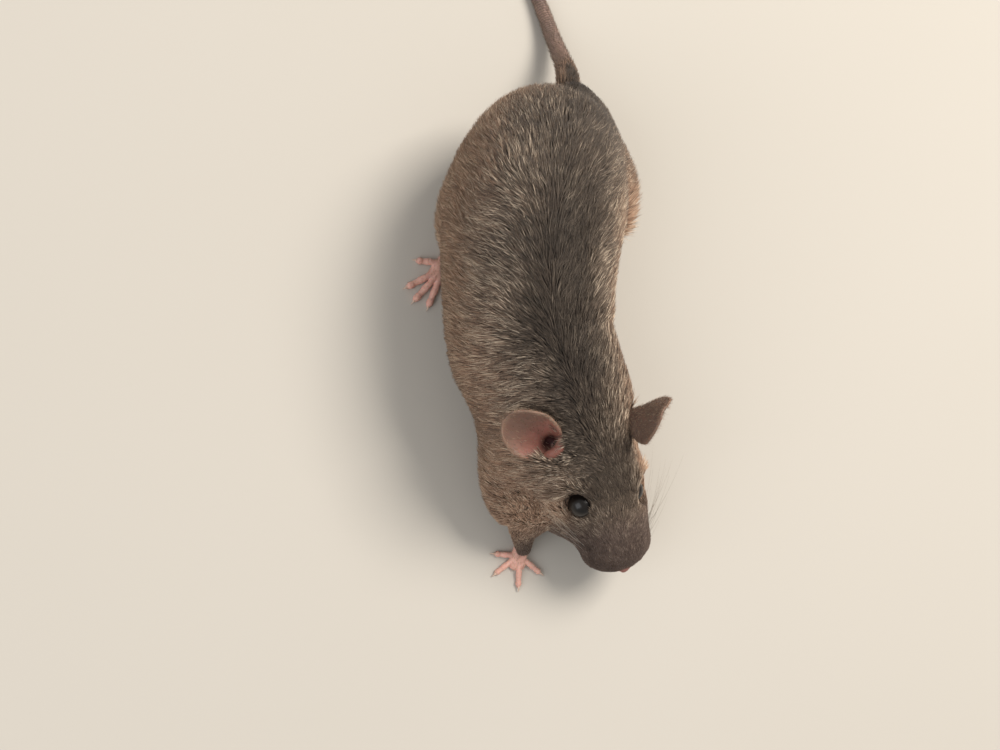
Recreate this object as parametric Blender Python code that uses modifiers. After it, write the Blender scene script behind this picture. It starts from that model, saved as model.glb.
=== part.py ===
"""A life-size house mouse, creeping with its head low and turned to its left.

Metres, +Z up. The mouse faces -Y, so its left side is at +X. Its soles and its tail lie on Z = 0.
Every size below is in millimetres and is turned into metres where a mesh is made.

The body is one loft from the tail's root to the nose, parted into trunk, neck, head and nose by thin
cuts. Legs, ears, eyes and tail are lofts, shells and spheres let into it with a small clearance.
"""

from math import cos, pi, radians, sin

import bmesh
import bpy
import numpy as np
from mathutils import Matrix, Vector

MM = 0.001
GAP = 0.3
FLOOR_SIZE = 400.0

# Head: where the nose's tip is, and which way the muzzle points.
NOSE_TIP = np.array((15.0, -36.4, 7.6))
HEAD_YAW = 17.0
HEAD_PITCH = 8.0
HEAD_ROLL = 0.0

# Cross-sections of the head, by distance behind the nose's tip: distance, half width, rise above the
# axis, drop below it, and how far the axis lies below the muzzle's own line and to its right.
HEAD_ROWS = (
    (0.25, 1.9, 1.2, 1.2, 0.0, 0.0),
    (0.9, 3.2, 2.1, 2.1, 0.0, 0.0),
    (2.2, 4.6, 3.1, 3.2, 0.0, 0.0),
    (4.0, 5.4, 4.0, 4.0, 0.0, 0.0),
    (6.5, 6.1, 4.9, 4.7, 0.0, 0.3),
    (9.0, 6.8, 5.9, 5.5, 0.0, 0.6),
    (12.0, 7.4, 6.9, 6.3, 0.0, 0.9),
    (15.0, 8.7, 7.6, 7.0, 0.0, 1.7),
    (18.0, 10.0, 8.1, 7.6, -0.2, 2.7),
    (21.0, 11.0, 8.6, 8.4, -0.8, 3.5),
    (24.0, 11.8, 9.0, 9.3, -1.7, 4.5),
)

# Cross-sections of the trunk, from the neck to the tail's root: x, y, z of the axis, half width, rise, drop.
TRUNK_ROWS = (
    (1.8, -10.6, 13.3, 11.9, 9.6, 10.0),
    (0.2, -7.0, 13.6, 12.1, 10.4, 10.4),
    (-1.2, -3.4, 13.7, 12.6, 11.1, 10.8),
    (-1.9, 2.0, 13.8, 13.0, 12.0, 11.2),
    (-1.9, 9.0, 14.0, 13.6, 12.8, 11.5),
    (-1.1, 16.0, 14.0, 14.1, 13.1, 11.4),
    (0.6, 22.6, 13.6, 13.6, 12.5, 10.7),
    (3.0, 28.2, 12.5, 11.5, 10.1, 9.3),
    (4.9, 32.0, 11.2, 8.3, 7.0, 7.1),
    (6.0, 35.0, 10.2, 4.8, 4.2, 4.4),
    (6.2, 37.8, 9.5, 2.5, 2.3, 2.3),
)

BODY_RINGS = 31
BODY_SIDES = 24
FLATTER_BELLY = 2.3

# Where the body is parted, counted in ring positions along HEAD_ROWS + TRUNK_ROWS.
NOSE_CUT = 1.3
HEAD_CUT = 10.7
NECK_CUT = 12.6
TAIL_CUT = 20.55

# Eyes and ears: distance behind the nose's tip, out from the middle, and up from the muzzle's line.
EYE_SPOTS = {"left": (11.0, 4.5, 3.6), "right": (11.0, 5.7, 4.0)}
EYE_RADIUS = 1.75
EAR_SPOTS = {"left": (22.7, 3.9, 3.8), "right": (22.4, 8.3, 6.4)}
EAR_LENGTH = 9.9
EAR_WIDTH = 8.4
EAR_THICKNESS = 0.7
EAR_STEPS = 10
SLOT_STEPS = 9
# Ear's outline: share of the length from the root, share of the half width, and degrees it curls round.
EAR_ROWS = (
    (0.0, 0.40, 100.0), (0.18, 0.56, 84.0), (0.40, 0.88, 62.0), (0.64, 1.0, 48.0),
    (0.84, 0.82, 40.0), (0.94, 0.58, 34.0), (1.0, 0.30, 30.0),
)
# Ear's long axis and the way its hollow faces: the left one stands up, the right one is laid back.
EAR_AIMS = {
    "left": ((0.30, -0.07, 0.95), (0.84, -0.45, -0.30)),
    "right": ((-0.867, 0.241, 0.437), (0.127, -0.74, 0.661)),
}

# Limbs: x, y, z of the axis, then half width and half depth.
FORELEG_ROWS = {
    "right": (
        (-2.6, -12.8, 12.0, 4.4, 4.8),
        (-3.7, -16.9, 11.0, 5.7, 5.9),
        (-3.4, -21.2, 9.2, 5.9, 5.4),
        (-1.6, -25.2, 7.6, 6.0, 4.8),
        (0.4, -28.6, 6.3, 5.0, 3.7),
        (0.3, -31.0, 4.4, 2.5, 2.3),
        (1.1, -33.6, 1.9, 1.5, 1.3),
    ),
    "left": (
        (6.2, -9.6, 12.0, 2.8, 4.2),
        (8.6, -11.2, 10.2, 4.2, 5.2),
        (10.8, -12.8, 8.0, 4.0, 4.6),
        (12.4, -14.6, 6.2, 3.0, 3.4),
        (12.3, -17.0, 4.4, 2.1, 2.3),
        (12.3, -18.6, 3.2, 1.7, 1.8),
        (12.5, -20.2, 1.9, 1.5, 1.3),
    ),
}
THIGH_ROWS = {
    "right": (
        (-3.0, 26.5, 13.0, 4.6, 5.4),
        (-6.0, 23.4, 12.0, 6.6, 7.8),
        (-8.8, 18.6, 10.6, 6.6, 7.6),
        (-10.6, 13.8, 8.6, 5.0, 5.6),
        (-11.2, 10.4, 7.2, 2.8, 3.0),
    ),
    "left": (
        (5.6, 29.0, 12.6, 4.6, 5.2),
        (8.2, 26.4, 11.8, 6.4, 7.4),
        (10.8, 23.0, 10.6, 6.2, 7.2),
        (12.6, 19.2, 8.8, 4.8, 5.4),
        (13.4, 16.2, 7.4, 2.8, 3.0),
    ),
}
SHANK_ROWS = {
    "right": (
        (-10.8, 11.4, 8.0, 2.8, 3.4),
        (-9.4, 13.6, 5.9, 2.5, 2.9),
        (-7.6, 15.6, 3.9, 2.0, 2.2),
        (-6.2, 16.9, 1.8, 1.7, 1.6),
    ),
    "left": (
        (12.6, 18.2, 8.0, 2.8, 3.4),
        (12.0, 21.2, 5.9, 2.5, 2.9),
        (11.4, 23.8, 3.9, 2.0, 2.2),
        (11.0, 25.6, 1.8, 1.7, 1.6),
    ),
}

# Paws: the wrist or heel, the way the sole points (degrees from -Y towards +X), the sole's length and
# half width, then each toe: degrees from that way, length, and how far along the sole it starts.
FOREPAWS = {
    "right": {"root": (1.0, -33.4), "aim": -12.0},
    "left": {"root": (12.5, -20.0), "aim": 8.0},
}
HINDFEET = {
    "right": {"root": (-5.9, 17.2), "aim": -38.0},
    "left": {"root": (10.9, 26.2), "aim": 8.0},
}
FOREPAW = {
    "sole": 2.8, "half_width": 1.6, "height": 1.9, "toe_radius": 0.5,
    "toes": ((-82.0, 3.2, 0.45), (-40.0, 3.7, 0.75), (12.0, 3.9, 0.85), (66.0, 3.9, 0.55)),
}
HINDFOOT = {
    "sole": 11.4, "half_width": 1.75, "height": 2.2, "toe_radius": 0.55,
    "toes": (
        (-56.0, 3.4, 0.80), (-22.0, 4.9, 0.95), (-2.0, 5.2, 0.97), (18.0, 4.9, 0.95), (44.0, 3.4, 0.82),
    ),
}
TOE_SINK = 0.12
ANKLE_HEIGHT = 2.7
# Sole: share of its length, then shares of its half width and of its height.
SOLE_ROWS = ((0.0, 0.80, 1.0), (0.25, 0.86, 1.0), (0.5, 0.92, 0.9), (0.75, 1.0, 0.78), (1.0, 0.9, 0.6))
# Toe: share of its length, then its height and its thickness as shares of its radius.
TOE_ROWS = ((-0.25, 1.4, 1.0), (0.25, 1.6, 1.0), (0.7, 1.05, 0.95), (0.88, 1.0, 1.05), (1.0, 0.8, 0.5))

# Tail: its axis from the root to the tip, as x, y and how far it is lifted off the floor.
TAIL_PATH = (
    (6.0, 36.6, 8.3), (6.5, 39.4, 7.3), (6.9, 43.0, 5.0), (6.7, 47.0, 2.4), (5.9, 51.4, 0.7),
    (4.0, 57.2, 0.0), (0.8, 64.2, 0.0), (-3.8, 71.6, 0.0), (-9.6, 78.6, 0.0), (-16.4, 84.8, 0.0),
    (-24.2, 90.0, 0.0), (-30.6, 93.2, 0.0),
)
TAIL_ROOT_RADIUS = 1.7
TAIL_TIP_RADIUS = 0.45
TAIL_RINGS = 11
TAIL_SIDES = 10
TAIL_FLAT = 0.12
TAIL_SLIT = 0.04
TAIL_PARTS = {"tail_base": (0.18, 4.0), "tail_middle": (4.0, 7.5), "tail_tip": (7.5, 11.0)}

COAT = ("coat", (0.105, 0.092, 0.078, 1.0), 0.75)
BARE_SKIN = ("bare_skin", (0.42, 0.22, 0.18, 1.0), 0.55)
EAR_SKIN = ("ear_skin", (0.20, 0.12, 0.10, 1.0), 0.55)
EYE_BLACK = ("eye_black", (0.006, 0.006, 0.006, 1.0), 0.08)


def clear_scene():
    """Removes what the scene holds, so that a second run starts clean."""
    for old in list(bpy.data.objects):
        bpy.data.objects.remove(old, do_unlink=True)
    for old in list(bpy.data.collections):
        bpy.data.collections.remove(old)


def material(name, colour, roughness):
    """A Principled material, made once for each name."""
    found = bpy.data.materials.get(name)
    if found:
        return found
    made = bpy.data.materials.new(name)
    made.use_nodes = True
    made.diffuse_color = colour
    shader = made.node_tree.nodes["Principled BSDF"]
    shader.inputs["Base Color"].default_value = colour
    shader.inputs["Roughness"].default_value = roughness
    shader.inputs["Metallic"].default_value = 0.0
    return made


def smooth_rows(rows, count):
    """Rows at count even steps along a table, on a Catmull-Rom curve through every row of it."""
    table = np.array(rows, float)
    steps = np.linspace(0.0, len(table) - 1.0, count)
    return curve_at(table, steps)


def curve_at(table, steps):
    """The Catmull-Rom curve through the table's rows, read at these positions, in rows from its start."""
    padded = np.vstack((2 * table[0] - table[1], table, 2 * table[-1] - table[-2]))
    start = np.clip(np.floor(steps).astype(int), 0, len(table) - 2)
    t = (np.asarray(steps) - start)[:, None]
    before, here, there, beyond = (padded[start + k] for k in range(4))
    return here + 0.5 * t * (
        there - before
        + t * (2 * before - 5 * here + 4 * there - beyond + t * (3 * (here - there) + beyond - before))
    )


def unit(vectors):
    """Vectors scaled to length 1."""
    vectors = np.asarray(vectors, float)
    return vectors / np.linalg.norm(vectors, axis=-1, keepdims=True)


def head_frame():
    """The head's forward, left and up directions, from its yaw, pitch and roll."""
    yaw, pitch, roll = radians(HEAD_YAW), radians(HEAD_PITCH), radians(HEAD_ROLL)
    forward = np.array((sin(yaw) * cos(pitch), -cos(yaw) * cos(pitch), -sin(pitch)))
    left = np.array((cos(yaw), sin(yaw), 0.0))
    up = np.cross(forward, left)
    return forward, cos(roll) * left + sin(roll) * up, cos(roll) * up - sin(roll) * left


def head_point(back, left, up):
    """A place in the head, by distance behind the nose's tip, to the left and above the muzzle's line."""
    forward, leftward, upward = head_frame()
    return NOSE_TIP - back * forward + left * leftward + up * upward


def new_object(name, mesh, finish, collection):
    """An object in this collection, with its finish and smooth shading."""
    made = bpy.data.objects.new(name, mesh)
    collection.objects.link(made)
    made.data.materials.append(material(*finish))
    mesh.shade_smooth()
    mesh.set_sharp_from_angle(angle=radians(50.0))
    return made


def loft_mesh(name, rings):
    """A closed mesh through rings of equal numbers of points, in millimetres, its ends closed by fans."""
    rings = np.asarray(rings, float)
    count, sides = rings.shape[:2]
    ends = np.array((rings[0].mean(0), rings[-1].mean(0)))
    points = np.vstack((rings.reshape(-1, 3), ends)) * MM
    faces = []
    for i in range(count - 1):
        for j in range(sides):
            k = (j + 1) % sides
            faces.append((i * sides + j, i * sides + k, (i + 1) * sides + k, (i + 1) * sides + j))
    last = (count - 1) * sides
    for j in range(sides):
        k = (j + 1) % sides
        faces.append((count * sides, k, j))
        faces.append((count * sides + 1, last + j, last + k))
    mesh = bpy.data.meshes.new(name)
    mesh.from_pydata(points.tolist(), [], faces)
    shell = bmesh.new()
    shell.from_mesh(mesh)
    bmesh.ops.recalc_face_normals(shell, faces=shell.faces)
    shell.to_mesh(mesh)
    shell.free()
    return mesh


def ring_axes(centres, rolls=0.0):
    """For each point of an axis, the direction to its left and the one upwards, square to the axis."""
    along = unit(np.gradient(centres, axis=0))
    upright = np.where(np.abs(along[:, 2:]) > 0.9, (0.0, -1.0, 0.0), (0.0, 0.0, 1.0))
    left = unit(np.cross(upright, along))
    up = np.cross(along, left)
    turn = np.radians(np.broadcast_to(rolls, len(centres)))[:, None]
    return np.cos(turn) * left + np.sin(turn) * up, np.cos(turn) * up - np.sin(turn) * left


def oval(centres, left, up, half_width, rise, drop, sides, belly=2.0):
    """Rings round an axis: half ellipses above it, and fuller curves of power belly below it."""
    angle = np.linspace(0.0, 2 * pi, sides, endpoint=False)
    power = np.where(np.sin(angle) < 0, 2.0 / belly, 1.0)
    across = np.sign(np.cos(angle)) * np.abs(np.cos(angle)) ** power
    above = np.sign(np.sin(angle)) * np.abs(np.sin(angle)) ** power
    height = np.where(above > 0, np.outer(rise, np.maximum(above, 0)), np.outer(drop, np.minimum(above, 0)))
    return (
        centres[:, None]
        + left[:, None] * np.outer(half_width, across)[..., None]
        + up[:, None] * height[..., None]
    )


def body_table():
    """Rows from the nose to the tail's root: axis, half width, rise, drop and roll."""
    rows = [
        (*head_point(back, -aside, -sag), width, rise, drop, HEAD_ROLL)
        for back, width, rise, drop, sag, aside in HEAD_ROWS
    ]
    rows += [(*row, 0.0) for row in TRUNK_ROWS]
    return np.array(rows)


def body_mesh():
    """The whole body from the nose to the tail's root as one loft."""
    rows = smooth_rows(body_table(), BODY_RINGS)
    left, up = ring_axes(rows[:, :3], -rows[:, 6])
    rings = oval(rows[:, :3], left, up, rows[:, 3], rows[:, 4], rows[:, 5], BODY_SIDES, FLATTER_BELLY)
    return loft_mesh("body", rings)


def limb_mesh(name, rows, rings, sides, grow=0.0):
    """A loft of ellipses along a limb's rows, made larger all round by grow."""
    table = smooth_rows(rows, rings)
    left, up = ring_axes(table[:, :3])
    width, depth = table[:, 3] + grow, table[:, 4] + grow
    ends = unit(table[0, :3] - table[1, :3]), unit(table[-1, :3] - table[-2, :3])
    sections = oval(table[:, :3], left, up, width, depth, depth, sides)
    first = oval(table[:1, :3], left[:1], up[:1], width[:1] * 0.6, depth[:1] * 0.6, depth[:1] * 0.6, sides)
    final = oval(table[-1:, :3], left[-1:], up[-1:], width[-1:] * 0.6, depth[-1:] * 0.6, depth[-1:] * 0.6, sides)
    first = first + ends[0] * (0.5 * width[0])
    final = final + ends[1] * (0.5 * width[-1])
    return loft_mesh(name, np.vstack((first, sections, final)))


def ear_surface(side, steps, sunk):
    """The open surface of an ear, by its first rows and how far it is sunk along its axis."""
    outward = 1.0 if side == "left" else -1.0
    axis, face = (unit(way) for way in EAR_AIMS[side])
    normal = unit(face - (face @ axis) * axis)
    across = np.cross(axis, normal)
    rows = smooth_rows(EAR_ROWS, EAR_STEPS)[:steps]
    along, share, curl = (rows[:, k][:, None] for k in range(3))
    curl = np.radians(curl)
    half_width = EAR_WIDTH / 2 * share
    radius = half_width / np.sin(np.minimum(curl, pi / 2))
    angle = np.linspace(-1.0, 1.0, EAR_STEPS)[None, :] * curl
    sideways = radius * np.sin(angle)
    depth = radius * (1 - np.cos(angle)) - 0.08 * EAR_LENGTH * along**2
    back, out, up = EAR_SPOTS[side]
    root = head_point(back, outward * out, up) - sunk * axis
    return (
        root
        + EAR_LENGTH * along[..., None] * axis
        + sideways[..., None] * across
        + depth[..., None] * normal
    )


def ear_object(name, side, thickness, collection, steps=EAR_STEPS, sunk=0.0):
    """An ear, or its first rows only, as a shell of this thickness: curled round at its root, a cup above."""
    places = ear_surface(side, steps, sunk)
    rows, columns = places.shape[:2]
    faces = [
        (i * columns + j, i * columns + j + 1, (i + 1) * columns + j + 1, (i + 1) * columns + j)
        for i in range(rows - 1)
        for j in range(columns - 1)
    ]
    mesh = bpy.data.meshes.new(name)
    mesh.from_pydata((places.reshape(-1, 3) * MM).tolist(), [], faces)
    ear = new_object(name, mesh, EAR_SKIN, collection)
    shell = ear.modifiers.new("thickness", "SOLIDIFY")
    shell.thickness = thickness * MM
    shell.offset = 0.0
    shell.use_even_offset = False
    return ear


def ball(name, centre, radius, finish, collection, segments=14):
    """A sphere at this place, in millimetres."""
    shell = bmesh.new()
    bmesh.ops.create_uvsphere(shell, u_segments=segments, v_segments=segments // 2 + 2, radius=radius * MM)
    mesh = bpy.data.meshes.new(name)
    shell.to_mesh(mesh)
    shell.free()
    made = new_object(name, mesh, finish, collection)
    made.location = Vector(centre) * MM
    return made


def slab(name, centre, normal, thickness, size, collection):
    """A square plate, as a cutter: its middle, the way it faces, its thickness and its side."""
    shell = bmesh.new()
    bmesh.ops.create_cube(shell, size=1.0)
    turn = Vector(normal).to_track_quat("Z", "Y").to_matrix().to_4x4()
    scale = Matrix.Diagonal((size * MM, size * MM, thickness * MM, 1.0))
    bmesh.ops.transform(shell, matrix=turn @ scale, verts=shell.verts)
    mesh = bpy.data.meshes.new(name)
    shell.to_mesh(mesh)
    shell.free()
    made = new_object(name, mesh, COAT, collection)
    made.location = Vector(centre) * MM
    return made


def boolean(target, tool, operation):
    """Adds a Boolean modifier that joins, cuts or keeps by the tool."""
    step = target.modifiers.new(operation.lower(), "BOOLEAN")
    step.operation = operation
    step.solver = "EXACT"
    step.object = tool
    tool.hide_render = True
    tool.display_type = "WIRE"


class Mouse:
    """The parts' collection, the cutters' collection, and what builds each part of the mouse."""

    def __init__(self):
        scene = bpy.context.scene.collection
        self.parts = bpy.data.collections.new("mouse")
        self.tools = bpy.data.collections.new("mouse_cutters")
        scene.children.link(self.parts)
        scene.children.link(self.tools)
        self.floor = slab("floor", (0, 0, -5.0), (0, 0, 1), 10.0, FLOOR_SIZE, self.tools)
        far = FLOOR_SIZE / 2
        self.below_ankle = slab("below_ankle", (0, 0, ANKLE_HEIGHT - far), (0, 0, 1), 2 * far, 2 * far, self.tools)
        above = ANKLE_HEIGHT - GAP + far
        self.above_ankle = slab("above_ankle", (0, 0, above), (0, 0, 1), 2 * far, 2 * far, self.tools)

    def cut_at(self, station):
        """Where a cut across the body lies, and the way it faces: towards the tail."""
        table = body_table()
        centre = curve_at(table, np.array((station,)))[0, :3]
        behind = curve_at(table, np.array((station + 0.2,)))[0, :3]
        return centre, unit(behind - centre)

    def keep_between(self, body, front, back):
        """Keeps the length of the body between two cuts, each half a gap away from its neighbour."""
        far = 80.0
        for station, sign in ((front, -1.0), (back, 1.0)):
            if station is None:
                continue
            centre, normal = self.cut_at(station)
            middle = centre + sign * normal * (far / 2 - GAP / 2)
            tool = slab(f"{body.name}_cut_{station:.0f}", middle, normal, far, 2 * far, self.tools)
            boolean(body, tool, "DIFFERENCE")

    def limb(self, name, rows, rings, sides, collection, grow=0.0):
        """A limb's loft as an object."""
        return new_object(name, limb_mesh(name, rows, rings, sides, grow), COAT, collection)

    def body(self):
        """Trunk, neck, head and nose, each a length of one loft, with room cut for what is let into them."""
        lengths = {
            "nose": (None, NOSE_CUT, BARE_SKIN),
            "head": (NOSE_CUT, HEAD_CUT, COAT),
            "neck": (HEAD_CUT, NECK_CUT, COAT),
            "trunk": (NECK_CUT, TAIL_CUT, COAT),
        }
        made = {}
        for name, (front, back, finish) in lengths.items():
            part = new_object(name, body_mesh(), finish, self.parts)
            self.keep_between(part, front, back)
            made[name] = part
        return made

    def eyes_and_ears(self, head, neck):
        """Eyes in their sockets and ears in their slots."""
        for side, sign in (("left", 1.0), ("right", -1.0)):
            back, out, up = EYE_SPOTS[side]
            place = head_point(back, sign * out, up)
            ball(f"eye_{side}", place, EYE_RADIUS, EYE_BLACK, self.parts)
            boolean(head, ball(f"socket_{side}", place, EYE_RADIUS + GAP, COAT, self.tools), "DIFFERENCE")
            ear_object(f"ear_{side}", side, EAR_THICKNESS, self.parts)
            slot = ear_object(f"ear_slot_{side}", side, EAR_THICKNESS + 2 * GAP, self.tools, SLOT_STEPS, GAP)
            boolean(head, slot, "DIFFERENCE")
            boolean(neck, slot, "DIFFERENCE")

    def forelegs(self, bodies):
        """Each foreleg from the shoulder to the wrist, in a hollow of the body."""
        for side, rows in FORELEG_ROWS.items():
            leg = self.limb(f"foreleg_{side}", rows, 12, 12, self.parts)
            room = self.limb(f"foreleg_{side}_room", rows, 12, 12, self.tools, GAP)
            for body in bodies:
                boolean(body, room, "DIFFERENCE")
            boolean(leg, self.below_ankle, "DIFFERENCE")

    def hindlegs(self, trunk):
        """Each hind leg: the thigh and the shank joined, in a hollow of the trunk."""
        for side, thigh_rows in THIGH_ROWS.items():
            pieces = (("thigh", thigh_rows, 10, 16), ("shank", SHANK_ROWS[side], 7, 10))
            leg, shank = (
                self.limb(name, rows, rings, sides, collection)
                for (_, rows, rings, sides), name, collection in zip(
                    pieces, (f"hindleg_{side}", f"shank_{side}"), (self.parts, self.tools)
                )
            )
            boolean(leg, shank, "UNION")
            boolean(leg, self.below_ankle, "DIFFERENCE")
            room, shank_room = (
                self.limb(f"{label}_{side}_room", rows, rings, sides, self.tools, GAP)
                for label, rows, rings, sides in pieces
            )
            boolean(room, shank_room, "UNION")
            boolean(trunk, room, "DIFFERENCE")

    def paw(self, name, place, shape, leg_rows):
        """A paw: a flattened sole and its toes joined, its underside cut flat by the floor."""
        aim = radians(place["aim"])
        root = np.array(place["root"])
        ahead = np.array((sin(aim), -cos(aim)))
        aside = np.array((cos(aim), sin(aim)))
        height, width, length = shape["height"], shape["half_width"], shape["sole"]
        rows = [
            (*(root + ahead * length * share), height * low / 2 - TOE_SINK, width * wide, height * low / 2)
            for share, wide, low in SOLE_ROWS
        ]
        sole = new_object(name, limb_mesh(name, rows, 6, 10), BARE_SKIN, self.parts)
        boolean(sole, self.limb(f"{name}_ankle", leg_rows[-3:], 4, 8, self.tools), "UNION")
        for number, (turn, reach, start) in enumerate(shape["toes"]):
            way = np.array((sin(aim + radians(turn)), -cos(aim + radians(turn))))
            base = root + ahead * length * start + aside * width * 0.62 * np.clip(turn / 40.0, -1, 1)
            toe_rows = [
                (*(base + way * reach * share), radius * lift - TOE_SINK, radius * thick, radius * thick)
                for radius in (shape["toe_radius"],)
                for share, lift, thick in TOE_ROWS
            ]
            boolean(sole, self.limb(f"{name}_toe_{number}", toe_rows, 4, 6, self.tools), "UNION")
        boolean(sole, self.above_ankle, "DIFFERENCE")
        boolean(sole, self.floor, "DIFFERENCE")

    def paws(self):
        """The four paws."""
        for side in FOREPAWS:
            self.paw(f"forepaw_{side}", FOREPAWS[side], FOREPAW, FORELEG_ROWS[side])
            self.paw(f"hindfoot_{side}", HINDFEET[side], HINDFOOT, SHANK_ROWS[side])

    def tail(self):
        """The tail, in lengths that stand a gap apart and lie flat on the floor."""
        path = np.array(TAIL_PATH)
        spread = len(path) - 1.0
        for name, (start, end) in TAIL_PARTS.items():
            steps = np.linspace(start + TAIL_SLIT, end - TAIL_SLIT * (end < spread), TAIL_RINGS)
            centres = curve_at(path, steps)
            radius = TAIL_ROOT_RADIUS + (TAIL_TIP_RADIUS - TAIL_ROOT_RADIUS) * steps / spread
            centres[:, 2] += radius - TAIL_FLAT
            left, up = ring_axes(centres)
            rings = oval(centres, left, up, radius, radius, radius, TAIL_SIDES)
            length = new_object(name, loft_mesh(name, rings), BARE_SKIN, self.parts)
            boolean(length, self.floor, "DIFFERENCE")

    def stand_at_origin(self):
        """Moves everything so that the middle of the mouse's box, at floor level, is the origin."""
        bpy.context.view_layer.update()
        graph = bpy.context.evaluated_depsgraph_get()
        corners = np.array([
            part.matrix_world @ Vector(corner)
            for part in self.parts.objects
            for corner in part.evaluated_get(graph).bound_box
        ])
        middle = (corners.min(0) + corners.max(0)) / 2
        base = bpy.data.objects.new("mouse_base", None)
        self.parts.objects.link(base)
        for piece in (*self.parts.objects, *self.tools.objects):
            if piece is not base:
                piece.parent = base
        base.location = (-middle[0], -middle[1], -corners[:, 2].min())


def main():
    """Builds the mouse."""
    clear_scene()
    mouse = Mouse()
    body = mouse.body()
    mouse.eyes_and_ears(body["head"], body["neck"])
    mouse.forelegs([body["neck"], body["trunk"], body["head"]])
    mouse.hindlegs(body["trunk"])
    mouse.paws()
    mouse.tail()
    mouse.stand_at_origin()


main()
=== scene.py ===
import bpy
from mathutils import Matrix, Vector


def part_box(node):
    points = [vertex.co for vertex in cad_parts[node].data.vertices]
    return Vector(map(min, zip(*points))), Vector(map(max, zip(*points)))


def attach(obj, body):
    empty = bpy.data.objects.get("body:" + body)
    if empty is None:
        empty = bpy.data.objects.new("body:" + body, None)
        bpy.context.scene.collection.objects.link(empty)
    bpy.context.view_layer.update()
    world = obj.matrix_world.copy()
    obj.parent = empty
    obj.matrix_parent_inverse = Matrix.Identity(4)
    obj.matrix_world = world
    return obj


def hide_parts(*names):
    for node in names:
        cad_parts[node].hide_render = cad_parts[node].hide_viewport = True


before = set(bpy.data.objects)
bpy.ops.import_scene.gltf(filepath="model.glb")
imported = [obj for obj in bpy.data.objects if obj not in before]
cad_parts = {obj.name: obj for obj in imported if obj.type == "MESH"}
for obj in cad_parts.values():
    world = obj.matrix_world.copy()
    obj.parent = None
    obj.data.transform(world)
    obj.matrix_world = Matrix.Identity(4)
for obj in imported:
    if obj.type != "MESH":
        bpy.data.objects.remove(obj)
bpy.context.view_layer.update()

# A life-size house mouse, creeping with its head low and turned to its left: one skin over the solid body,
# glossy eyes, claws, whiskers, and a coat of closed tufts that follow the lie of the fur.
# Lengths are in millimetres until a mesh is made, and the mouse faces -Y with its left side at +X.

import logging
from dataclasses import dataclass, field
from enum import Enum
from math import cos, pi, radians, sin, tan
from typing import Callable, ClassVar

import bpy
import numpy as np
from mathutils import Matrix

MM = 0.001
# How far hair tips and claws stay above the floor, and how many points are compared with an axis at a time.
FLOOR_GAP = 0.02
BLOCK = 20000
Rows = tuple[tuple[float, ...], ...]
Array = np.ndarray
Trio = tuple[Array, Array, Array]
Triple = tuple[float, float, float]
Colour = tuple[int, int, int]
Object = bpy.types.Object
Mesh = bpy.types.Mesh
Material = bpy.types.Material
Socket = bpy.types.NodeSocket
log = logging.getLogger("mouse")


class Side(Enum):
    """Which side of the mouse a piece is on, with the sign of its x."""

    LEFT = 1.0
    RIGHT = -1.0


class Region(Enum):
    """A part of the skin; its number marks the faces that belong to it."""

    BODY = 0
    FORELEG_RIGHT = 1
    FORELEG_LEFT = 2
    THIGH_RIGHT = 3
    THIGH_LEFT = 4
    SHANK_RIGHT = 5
    SHANK_LEFT = 6
    EAR_RIGHT = 7
    EAR_LEFT = 8
    TAIL = 9
    PAW = 10
    TOE = 11


# Where the coat grows: the body and all parts of the legs.
FURRED = tuple(Region)[:7]


# ---- geometry


def unit(vectors: Array) -> Array:
    """Scales vectors along the last axis to length 1."""
    vectors = np.asarray(vectors, float)
    return vectors / np.maximum(np.linalg.norm(vectors, axis=-1, keepdims=True), 1e-12)


def dot(a: Array, b: Array) -> Array:
    """The scalar product along the last axis, kept as a column."""
    return np.sum(a * b, axis=-1, keepdims=True)


def ramp(x: Array, low: float, high: float) -> Array:
    """A smooth step: 0 below low, 1 above high, and 3t^2 - 2t^3 between them."""
    t = np.clip((np.asarray(x, float) - low) / (high - low), 0.0, 1.0)
    return t * t * (3.0 - 2.0 * t)


def hill(x: Array, width: float) -> Array:
    """A bell curve: e to the minus square of x over width."""
    return np.exp(-((np.asarray(x, float) / width) ** 2))


def read_off(rows: Rows, x: Array, column: int = 1) -> Array:
    """A column of a table between its rows, by straight lines; the first column places the rows."""
    table = np.array(rows, float)
    return np.interp(x, table[:, 0], table[:, column])


def lengths_along(centres: Array) -> Array:
    """How far it is along a path from its first point to each, as a running sum of its steps."""
    return np.concatenate(([0.0], np.cumsum(np.linalg.norm(np.diff(centres, axis=0), axis=1))))


def curve_at(table: Array, steps: Array) -> Array:
    """The Catmull-Rom curve through a table's rows.

    Args:
        table: one row for each point of the curve.
        steps: positions along it, counted in rows.

    Returns:
        The rows there: cubics through the two rows round each step, with the slope of their neighbours.
    """
    padded = np.vstack((2 * table[0] - table[1], table, 2 * table[-1] - table[-2]))
    start = np.clip(np.floor(steps).astype(int), 0, len(table) - 2)
    t = (np.asarray(steps) - start)[:, None]
    before, here, there, beyond = (padded[start + k] for k in range(4))
    return here + 0.5 * t * (
        there - before
        + t * (2 * before - 5 * here + 4 * there - beyond + t * (3 * (here - there) + beyond - before))
    )


def ring_axes(centres: Array) -> Trio:
    """The directions along an axis, to its left and upwards, at each of its points.

    Args:
        centres: points of the axis.

    Returns:
        Along the slope of the axis; level to the left of one who follows it, which is the mouse's right
        from nose to tail; and up, square to both.
    """
    along = unit(np.gradient(centres, axis=0))
    upright = np.where(np.abs(along[:, 2:]) > 0.9, (0.0, -1.0, 0.0), (0.0, 0.0, 1.0))
    left = unit(np.cross(upright, along))
    return along, left, np.cross(along, left)


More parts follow.
